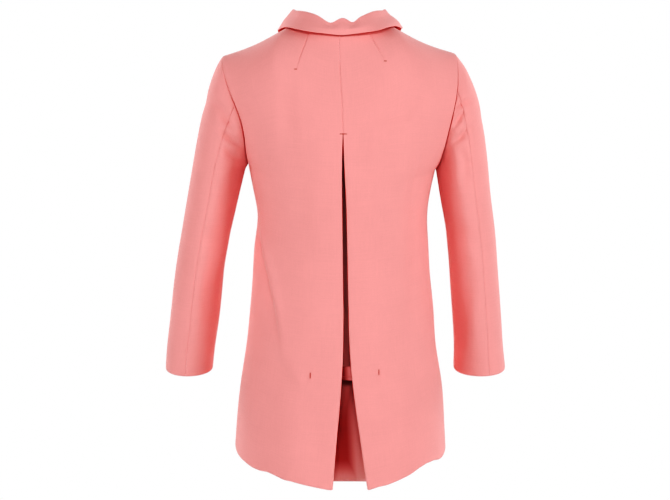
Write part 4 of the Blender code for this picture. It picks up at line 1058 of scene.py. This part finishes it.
def leaf_section(centre, out, last):
    """Round over the roll, then straight down and out to the edge."""
    up = np.array([0.0, 0.0, 1.0])
    fall = last - centre
    stop = math.pi / 2.0 - math.atan2(-fall[2], fall @ out)
    angles = np.linspace(math.pi, stop, ROLL_STEPS + 1)
    roll = [centre + ROLL_RADIUS * (math.cos(a) * out + math.sin(a) * up) for a in angles]
    steps = np.arange(1, FALL_STEPS + 1) / FALL_STEPS
    return np.array(roll + [roll[-1] + (last - roll[-1]) * step for step in steps])


def down_shares(grid):
    return np.linspace(0.0, 1.0, len(grid))[:, None]


def swelled(grid):
    """The swelling of the leaf at the centre back, below which a lens-shaped strip turns under."""
    down = down_shares(grid)
    start, most = LEAF_SWELL_PLACES
    middle, reach, blend = LEAF_SWELL_ACROSS
    near = smooth_step((reach - np.abs(grid[..., 0] - middle)) / blend)
    near = near * rising(grid[..., 1], 0.0, COLLAR_BACK)
    swell = rising(down, start, most - start) * np.clip((1.0 - down) / (1.0 - most), 0.0, 1.0)
    return grid + np.array(LEAF_SWELL_WAY) * (LEAF_SWELL * near * swell)[..., None]


def shaped_top(grid, start, follows=(1.0, 1.0)):
    """The soft waves of the collar's top edge at the back, fading out below start."""
    rise = natural_curve(*zip(*COLLAR_WAVES))(grid[..., 0])
    rise = rise * np.where(rise > 0.0, *follows) * rising(grid[..., 1], 0.0, COLLAR_BACK)
    grid = grid.copy()
    grid[..., 2] += rise * (1.0 - rising(down_shares(grid), start, WAVE_FADE))
    return grid


def lift_clear(grid, body):
    """Raises the fall, square to itself, where it would lie too close to the body."""
    tree = surface(body)
    fall = grid[-1] - grid[ROLL_STEPS]
    out = outward(grid[ROLL_STEPS])
    over = points(-out[:, 0] * fall[:, 2], -out[:, 1] * fall[:, 2], (out * fall).sum(axis=1))
    over /= np.linalg.norm(over, axis=1, keepdims=True)

    def shortfall(place, way):
        near, facing, _, _ = tree.find_nearest(Vector(place))
        gap = (Vector(place) - near).dot(facing)
        return max(0.0, LEAF_CLEARANCE - gap) / max(LEAF_SLANT, Vector(way).dot(facing))

    for _ in range(LIFT_PASSES):
        raised = np.zeros(grid.shape[:2])
        for r in range(ROLL_STEPS + 1, grid.shape[0]):
            for c in range(grid.shape[1]):
                raised[r, c] = max(raised[r, c], shortfall(grid[r, c], over[c]))
        for r in range(ROLL_STEPS, grid.shape[0] - 1):
            for c in range(grid.shape[1] - 1):
                cell = raised[r:r + 2, c:c + 2]
                middle = grid[r:r + 2, c:c + 2].reshape(4, 3).mean(axis=0)
                np.maximum(cell, shortfall(middle, over[c]), out=cell)
        raised = smoothed_up(raised)
        raised[:ROLL_STEPS + 1] = 0.0
        grid += raised[..., None] * over


def smoothed_up(values):
    """The values evened out with their neighbours, and nowhere lowered."""
    for blend in (np.max, np.mean):
        padded = np.pad(values, 1, mode="edge")
        near = [padded[r:r + values.shape[0], c:c + values.shape[1]] for r in range(3) for c in range(3)]
        values = blend(near, axis=0)
    return values


def refine(grid, splits):
    """The same form on a finer grid, along smooth curves both ways."""
    for axis, split in enumerate(splits):
        places = np.arange(grid.shape[axis])
        fine = np.linspace(0, places[-1], places[-1] * split + 1)
        lines = np.moveaxis(grid, axis, 0)
        finer = np.zeros((len(fine),) + lines.shape[1:])
        for line in np.ndindex(lines.shape[1:]):
            finer[(slice(None),) + line] = natural_curve(places, lines[(slice(None),) + line])(fine)
        grid = np.moveaxis(finer, 0, axis)
    return grid


def at_stations(line, places):
    """A neckline read at the collar's stations."""
    stations = np.linspace(0.0, 1.0, NECK_COLUMNS + 1)
    return np.array([np.interp(stations, places, line[:, k]) for k in range(3)]).T


def neck_seam(necks):
    """The panels' necklines, from the left centre front round the back to the right."""
    return np.concatenate([necks["front_left"], necks["back_left"][-2::-1],
                           necks["back_right"][1:], necks["front_right"][-2::-1]])


def surface(cloths):
    """The right sides of some pieces, to measure against."""
    places = np.concatenate([cloth.points for cloth in cloths])
    starts = np.cumsum([0] + [len(cloth.points) for cloth in cloths])
    faces = np.concatenate([cloth.quads + start for cloth, start in zip(cloths, starts)])
    return BVHTree.FromPolygons(places.tolist(), faces.tolist())


# ------------------------------------------------------------------ sewn details
def path_lengths(path):
    return np.append(0.0, np.cumsum(np.linalg.norm(np.diff(path, axis=0), axis=1)))


def path_points(path, distances):
    """The points of a path of (x, z) at some distances along it."""
    path = np.asarray(path, float)
    return np.stack([np.interp(distances, path_lengths(path), path[:, k]) for k in (0, 1)], axis=-1)


def surface_line(tree, face, path, steps, lift):
    """A path of (x, z) laid on the back or the front, and the way out of the cloth along it."""
    places, ups = [], []
    for x, z in path_points(path, np.linspace(0.0, path_lengths(path)[-1], steps)):
        place, up, _, _ = tree.ray_cast(Vector((x, FACES[face], z)), Vector((0.0, -FACES[face], 0.0)))
        places.append(place)
        ups.append(up)
    return np.array(places) + lift * np.array(ups), np.array(ups)


def thread(line, ups, radius):
    """A closed tube along a line, tapering at its ends."""
    line = np.asarray(line)
    along = np.gradient(line, axis=0)
    along /= np.linalg.norm(along, axis=1, keepdims=True)
    side = np.cross(along, ups)
    side /= np.linalg.norm(side, axis=1, keepdims=True)
    turn = np.clip(np.linspace(0.0, math.pi, len(line)), THREAD_END, math.pi - THREAD_END)
    size = radius * np.sin(turn) ** THREAD_TAPER
    round_it = np.linspace(0.0, 2.0 * math.pi, THREAD_SIDES, endpoint=False)
    rings = [line[i] + size[i] * (side[i] * math.cos(a) + ups[i] * math.sin(a))
             for i in range(len(line)) for a in round_it]
    index = np.arange(len(rings)).reshape(len(line), THREAD_SIDES)
    ahead = np.roll(index, -1, axis=1)
    faces = np.stack([index[:-1], ahead[:-1], ahead[1:], index[1:]], axis=-1).reshape(-1, 4).tolist()
    return rings, faces + [index[0, ::-1].tolist(), index[-1].tolist()]


def sewn_object(name, threads):
    """One object from several threads."""
    places, faces = [], []
    for thread_places, thread_faces in threads:
        faces += [[i + len(places) for i in face] for face in thread_faces]
        places += [tuple(place) for place in thread_places]
    return piece_object(name, places, faces, sewing)


def bar_tack(tree, tack):
    """Close stitches across two laid threads."""
    ways = np.array([0.0, 1.0]) if tack.upright else np.array([1.0, 0.0])
    middle = np.array([tack.x, tack.z])
    half = ways * tack.length / 2
    beside = ways[::-1] * TACK_THREAD
    laid_points, stitch_points = TACK_POINTS
    threads = []
    for off in (-beside, beside):
        path = [middle - half + off, middle + half + off]
        laid = surface_line(tree, "back", path, laid_points, TACK_THREAD * TACK_LAID_LIFT)
        threads.append(thread(*laid, TACK_THREAD))
    for step in np.linspace(-TACK_FILLED, TACK_FILLED, int(tack.length / (TACK_THREAD * TACK_PITCH))):
        at = middle + ways * tack.length * step
        path = [at - beside * TACK_REACH, at + beside * TACK_REACH]
        stitch = surface_line(tree, "back", path, stitch_points, TACK_THREAD * TACK_STITCH_LIFT)
        threads.append(thread(*stitch, TACK_THREAD))
    sewn_object("tack_" + tack.name, threads)


def stay_stitching(tree, name, drop):
    """A row of short stitches along the stay, a little below its upper edge."""
    first, last = STAY_ENDS
    path = [(first - STAY_STITCH_INSET, STAY_TOP - drop), (last + STAY_STITCH_INSET, STAY_TOP - drop)]
    threads = []
    for start in np.arange(0.0, path_lengths(path)[-1] - STITCH_PITCH, STITCH_PITCH):
        ends = path_points(path, [start, start + STITCH_PITCH * STITCH_SHARE])
        stitch = surface_line(tree, "back", ends, STITCH_POINTS, STITCH_LIFT)
        threads.append(thread(*stitch, STITCH_THREAD))
    sewn_object("stay_stitches_" + name, threads)


def button_threads(node):
    """Two crossed threads through the four holes, over the button's face."""
    low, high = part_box(node)
    middle = (np.array(low) + np.array(high)) / 2.0
    share = np.linspace(-1.0, 1.0, BUTTON_THREAD_POINTS)
    dive = BUTTON_THREAD_DIVE * np.abs(share) ** BUTTON_THREAD_FLAT
    level = low[1] + BUTTON_THREAD_DEPTH + (dive - BUTTON_THREAD_CROWN * (1.0 - share * share))
    reach = share * BUTTON_HOLE_PLACE
    ups = np.tile([0.0, -1.0, 0.0], (BUTTON_THREAD_POINTS, 1))
    threads = [thread(points(middle[0] + reach, level, middle[2] + tilt * reach), ups, BUTTON_THREAD)
               for tilt in (-1.0, 1.0)]
    sewn_object(node + "_thread", threads)


def buttonhole(tree, number, height):
    """A worked slot that shows past the button's edge."""
    near, far = SLOT_STITCH
    threads = []
    for x in np.arange(-SLOT_REACH, SLOT_REACH, SLOT_PITCH):
        for way in (-1.0, 1.0):
            path = [(x, height + way * near), (x, height + way * far)]
            stitch = surface_line(tree, "front", path, SLOT_POINTS, SLOT_LIFT)
            threads.append(thread(*stitch, SLOT_THREAD))
    sewn_object(f"buttonhole_{number}", threads)


# ------------------------------------------------------------------ materials
COTTON = (0.85, 0.310, 0.302)
SHADED_UNDERLAY_COTTON = (0.74, 0.300, 0.290)    # painted shade: darker than the cotton, for the shade inside the pleat
# Painted shade: a darker colour painted where the pleat's inside lies in shade, deepest towards the left and
# the top.
# The unshaded colour comes in across, from start to end, and down, from top to low. The lean slants this, per
# metre of height. Upper is the share of the unshaded colour that shows above the top, and from hem down to
# hem_low it comes back.
PaintedShade = namedtuple("PaintedShade", "colour start end lean top low upper hem hem_low")
PAINTED_PLEAT_SHADE = PaintedShade((0.385, 0.062, 0.060), 0.0263, 0.0073, 0.048, -0.580, -0.700, 0.60, -0.752, -0.786)
PAINTED_STAY_SHADE = PaintedShade((0.300, 0.042, 0.041), 0.0249, 0.0130, 0.048, -0.500, -0.570, 0.0, -0.900, -0.950)
HEM_SHARE = 0.85                  # of the unshaded colour, at the hem, where less shade is painted
SHEEN = {"Sheen Weight": 0.25, "Sheen Roughness": 0.45, "Sheen Tint": (1.0, 0.86, 0.84, 1.0),
         "Specular IOR Level": 0.25}
BANDS_A_METRE = 3.1416            # about, at a scale of 1
WEAVE_PITCH = {"X": 0.00062, "Y": 0.00056}
WEAVE = {"Distortion": 0.6, "Detail": 1.0}
SLUBS = {"Scale": 1.0, "Detail": 2.0}
SLUB_SCALES = ((900.0, 22.0, 1.0), (18.0, 800.0, 1.0))    # long slubs down and across
PATCHES = {"Scale": 14.0, "Detail": 3.0, "Roughness": 0.55}
GRAIN = {"Scale": 420.0, "Detail": 2.0, "Roughness": 0.6}
TONE_SHARES = (0.35, 0.45, 0.30)  # of the slubs, the patches and the grain
TONE_REACH = (0.35, 0.85)         # of the tone, from the dark to the light shade of a colour
TONE_DARK, TONE_LIGHT = 0.93, 1.035
ROUGHNESS = (0.74, 0.9)
WEAVE_RELIEF = {"Strength": 0.35, "Distance": 0.00025}
SLUB_RELIEF = {"Strength": 0.20, "Distance": 0.0006}
Plain = namedtuple("Plain", "colour roughness speckle relief")
SEWING = Plain((0.62, 0.16, 0.15), 0.6, 900.0, 0.2)
BUTTON = Plain((0.80, 0.26, 0.235), 0.35, 160.0, 0.06)
FLOOR = Plain((0.90, 0.90, 0.90), 0.9, 3.0, 0.02)
PLAIN_DETAIL = 3.0
PLAIN_RELIEF = 0.0003
PLAIN_REACH = (0.3, 0.7)
PLAIN_DARK, PLAIN_LIGHT = 0.92, 1.04


def node(tree, kind, output, inputs, **settings):
    """A shader node with its inputs set, or fed by other nodes, read at one of its outputs."""
    made = tree.nodes.new("ShaderNode" + kind)
    for name, value in settings.items():
        setattr(made, name, value)
    for socket, value in inputs.items():
        if isinstance(value, bpy.types.NodeSocket):
            tree.links.new(value, made.inputs[socket])
        else:
            made.inputs[socket].default_value = value
    return made.outputs[output]


def maths(tree, operation, *values):
    return node(tree, "Math", "Value", dict(enumerate(values)), operation=operation)


def mixed(tree, share, first, second, blend="MIX"):
    return node(tree, "Mix", 2, {0: share, 6: first, 7: second}, data_type="RGBA", blend_type=blend)


def ramp(tree, source, stops):
    """Colours read along a ramp through the given stops."""
    colours = node(tree, "ValToRGB", "Color", {"Fac": source})
    elements = colours.node.color_ramp.elements
    elements.remove(elements[1])
    elements[0].position, elements[0].color = stops[0]
    for position, colour in stops[1:]:
        elements.new(position).color = colour
    return colours


def shades(colour, reach, dark, light):
    """The two stops of a ramp round one colour."""
    return [(position, tuple(min(1.0, c * share) for c in colour) + (1.0,))
            for position, share in zip(reach, (dark, light))]


def finish(name, **sockets):
    """A new material with some of its shader's inputs set, its node tree and its shader."""
    made = bpy.data.materials.new(name)
    made.use_nodes = True
    shader = made.node_tree.nodes["Principled BSDF"]
    for socket, value in sockets.items():
        shader.inputs[socket].default_value = value
    return made, made.node_tree, shader


def cloth_material(name, colour, painted_shade=None):
    """Plain woven cotton: fine threads both ways, slubs, a soft uneven tone and a short nap.

    A painted shade darkens it towards its left and its top, standing in for the shade inside the pleat."""
    made, tree, shader = finish(name, **SHEEN)
    lay = node(tree, "UVMap", "UV", {}, uv_map="cloth")
    place = node(tree, "TexCoord", "Object", {})
    threads = []
    for way, pitch in WEAVE_PITCH.items():
        scale = 1.0 / pitch / BANDS_A_METRE
        threads.append(node(tree, "TexWave", "Fac", {"Vector": lay, "Scale": scale, **WEAVE},
                            wave_type="BANDS", bands_direction=way))
    woven = maths(tree, "MAXIMUM", *threads)
    stretched = [node(tree, "Mapping", "Vector", {"Vector": lay, "Scale": scale}) for scale in SLUB_SCALES]
    slubs = maths(tree, "ADD", *[node(tree, "TexNoise", "Fac", {"Vector": lies, **SLUBS})
                                 for lies in stretched])
    patches = node(tree, "TexNoise", "Fac", {"Vector": place, **PATCHES})
    grain = node(tree, "TexNoise", "Fac", {"Vector": place, **GRAIN})
    parts = [maths(tree, "MULTIPLY", part, share)
             for part, share in zip((slubs, patches, grain), TONE_SHARES)]
    tone = maths(tree, "ADD", parts[0], maths(tree, "ADD", *parts[1:]))
    painted = ramp(tree, tone, shades(colour, TONE_REACH, TONE_DARK, TONE_LIGHT))
    # painted shade: a darker colour mixed in where the pleat lies in shade
    if painted_shade:
        shade_colour = ramp(tree, tone, shades(painted_shade.colour, TONE_REACH, TONE_DARK, TONE_LIGHT))
        painted = mixed(tree, unshaded_share(tree, place, painted_shade), shade_colour, painted)
    rough = node(tree, "MapRange", "Result", {"Value": woven, "To Min": ROUGHNESS[0], "To Max": ROUGHNESS[1]})
    fine = node(tree, "Bump", "Normal", {"Height": woven, **WEAVE_RELIEF})
    coarse = node(tree, "Bump", "Normal", {"Height": slubs, "Normal": fine, **SLUB_RELIEF})
    tree.links.new(painted, shader.inputs["Base Color"])
    tree.links.new(rough, shader.inputs["Roughness"])
    tree.links.new(coarse, shader.inputs["Normal"])
    return made


def unshaded_share(tree, place, painted_shade):
    """How much of the unshaded colour shows over the painted shade: most to the right and at the hem, and
    some at the very top.
    """
    def between(source, start, end, most=1.0):
        ends = {"Value": source, "From Min": start, "From Max": end, "To Min": 0.0, "To Max": most}
        return node(tree, "MapRange", "Result", ends, interpolation_type="SMOOTHSTEP")

    across = node(tree, "SeparateXYZ", "X", {"Vector": place})
    height = across.node.outputs["Z"]
    sideways = maths(tree, "SUBTRACT", across, maths(tree, "MULTIPLY", height, painted_shade.lean))
    share = maths(tree, "MULTIPLY", between(sideways, painted_shade.start, painted_shade.end),
                  between(height, painted_shade.top, painted_shade.low))
    share = maths(tree, "MAXIMUM", share, between(height, painted_shade.hem, painted_shade.hem_low, HEM_SHARE))
    return maths(tree, "MAXIMUM", share, between(height, painted_shade.low, painted_shade.top, painted_shade.upper))


def plain_material(name, plain):
    """A smooth finish with a faint unevenness in colour and surface."""
    made, tree, shader = finish(name, Roughness=plain.roughness)
    place = node(tree, "TexCoord", "Object", {})
    speckle = {"Vector": place, "Scale": plain.speckle, "Detail": PLAIN_DETAIL}
    uneven = node(tree, "TexNoise", "Fac", speckle)
    painted = ramp(tree, uneven, shades(plain.colour, PLAIN_REACH, PLAIN_DARK, PLAIN_LIGHT))
    relief = {"Height": uneven, "Strength": plain.relief, "Distance": PLAIN_RELIEF}
    tree.links.new(painted, shader.inputs["Base Color"])
    tree.links.new(node(tree, "Bump", "Normal", relief), shader.inputs["Normal"])
    return made


# ------------------------------------------------------------------ the form of a record for a cut piece's flat size
Cut = namedtuple("Cut", "width length area")


# ------------------------------------------------------------------ light, floor and camera
CAMERA_PLACE = (0.0107, 3.0, 0.02)
CAMERA_PITCH = math.radians(7.8813)
CAMERA_LENS = 91.02
FLOOR_HEIGHT = -1.45              # under the feet of whoever wears it
FLOOR_RADIUS = 1.9
FLOOR_CORNERS = 96
BEHIND = ((0.06, 1.0), (0.14, 0.0))    # greys by direction, from behind the jacket to the camera
AROUND = ((0.22, 0.12), (0.32, 0.36), (0.54, 0.36), (0.64, 0.12))    # and from below to overhead
TONE = ((0.06, 0.010), (0.15, 0.055), (0.23, 0.165), (0.32, 0.300), (0.62, 0.610))    # deepens the darks
LIGHT_AIM = (0.0, 0.0, -0.35)
Light = namedtuple("Light", "name place size power")
LIGHTS = [
    Light("key", (-2.9, 1.6, 0.6), 1.3, 58.0),
    Light("fill", (2.9, 1.6, 0.5), 1.3, 40.0),
    Light("over_camera", (0.0, 3.5, 1.1), 1.1, 61.0),
    Light("front_key", (2.2, -2.4, 1.0), 1.5, 70.0),
    Light("front_fill", (-2.4, -2.2, 0.8), 1.5, 50.0),
]


def placed(name, data, place, aim):
    """A lamp or a camera at a place, looking along a way."""
    made = bpy.data.objects.new(name, data)
    made.location = place
    made.rotation_euler = Vector(aim).to_track_quat("-Z", "Y").to_euler()
    bpy.context.scene.collection.objects.link(made)
    return made


def pale_world():
    """White behind the jacket as it is photographed, pale at eye level all round, dim overhead."""
    world = bpy.data.worlds.new("studio")
    world.use_nodes = True
    tree = world.node_tree
    way = node(tree, "SeparateXYZ", 0, {"Vector": node(tree, "TexCoord", "Generated", {})})
    greys = []
    for axis, stops in (("Y", BEHIND), ("Z", AROUND)):
        half = node(tree, "MapRange", "Result", {"Value": way.node.outputs[axis], "From Min": -1.0})
        greys.append(ramp(tree, half, [(position, (shade, shade, shade, 1.0)) for position, shade in stops]))
    tree.links.new(mixed(tree, 1.0, *greys, "LIGHTEN"), tree.nodes["Background"].inputs["Color"])
    bpy.context.scene.world = world


def studio():
    """The world, the floor, the lamps, the camera and the tone curve."""
    pale_world()
    bpy.ops.object.select_all(action="DESELECT")
    bpy.ops.mesh.primitive_circle_add(vertices=FLOOR_CORNERS, radius=FLOOR_RADIUS, fill_type="NGON",
                                      location=(0.0, 0.0, FLOOR_HEIGHT))
    floor = bpy.context.object
    floor.name = "floor"
    floor.data.materials.append(plain_material("pale floor", FLOOR))
    for light in LIGHTS:
        data = bpy.data.lights.new(light.name, "AREA")
        data.size = light.size
        data.energy = light.power
        placed(light.name, data, light.place, Vector(LIGHT_AIM) - Vector(light.place))
    data = bpy.data.cameras.new("camera")
    data.lens = CAMERA_LENS
    aim = (0.0, -math.cos(CAMERA_PITCH), -math.sin(CAMERA_PITCH))
    bpy.context.scene.camera = placed("camera", data, CAMERA_PLACE, aim)
    seen = bpy.context.scene.view_settings
    seen.view_transform = "Standard"
    seen.use_curve_mapping = True
    combined = seen.curve_mapping.curves[3]
    for grey, shown in TONE:
        combined.points.new(grey, shown)
    seen.curve_mapping.update()


# ------------------------------------------------------------------ the dressed jacket
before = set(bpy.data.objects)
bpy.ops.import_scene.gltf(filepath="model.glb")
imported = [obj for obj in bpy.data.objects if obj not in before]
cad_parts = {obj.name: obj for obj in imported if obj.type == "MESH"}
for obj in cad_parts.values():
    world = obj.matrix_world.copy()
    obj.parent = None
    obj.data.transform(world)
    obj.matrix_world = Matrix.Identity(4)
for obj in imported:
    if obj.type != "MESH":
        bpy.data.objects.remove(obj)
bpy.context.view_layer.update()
cotton = cloth_material("coral cotton", COTTON)
# the underlay and the stay carry painted shade, darker where the pleat lies in shade
finishes = {"pleat_underlay": cloth_material("coral cotton with painted pleat shade", SHADED_UNDERLAY_COTTON, PAINTED_PLEAT_SHADE),
            "pleat_stay": cloth_material("coral cotton of the stay with painted shade", COTTON, PAINTED_STAY_SHADE)}
sewing = plain_material("coral thread", SEWING)
horn = plain_material("coral button", BUTTON)

necks = {}
body = []
for face in FACES:
    for side in SIGNS:
        cloth, necks[face + "_" + side] = body_panel(side, face)
        body.append(cloth)
sleeves = [sleeve_panel(side, part) for side in SIGNS for part in ("top", "under")]
base = neck_seam(necks)
stay = pleat_stay()
for cloth in body + sleeves + [collar_stand(base), collar_leaf(base, body), pleat_underlay(), stay]:
    made = dress(cloth, finishes.get(cloth.name, cotton))

backs, fronts = surface(body[:2]), surface(body[2:])
stay_surface = surface([stay])
for tack in TACKS:
    bar_tack(backs, tack)
for name, drop in STAY_STITCHES.items():
    stay_stitching(stay_surface, name, drop)
for number, height in enumerate(BUTTON_HEIGHTS, start=1):
    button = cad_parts[f"button_{number}"]
    button.data.materials.clear()
    button.data.materials.append(horn)
    button_threads(f"button_{number}")
    buttonhole(fronts, number, height)

studio()
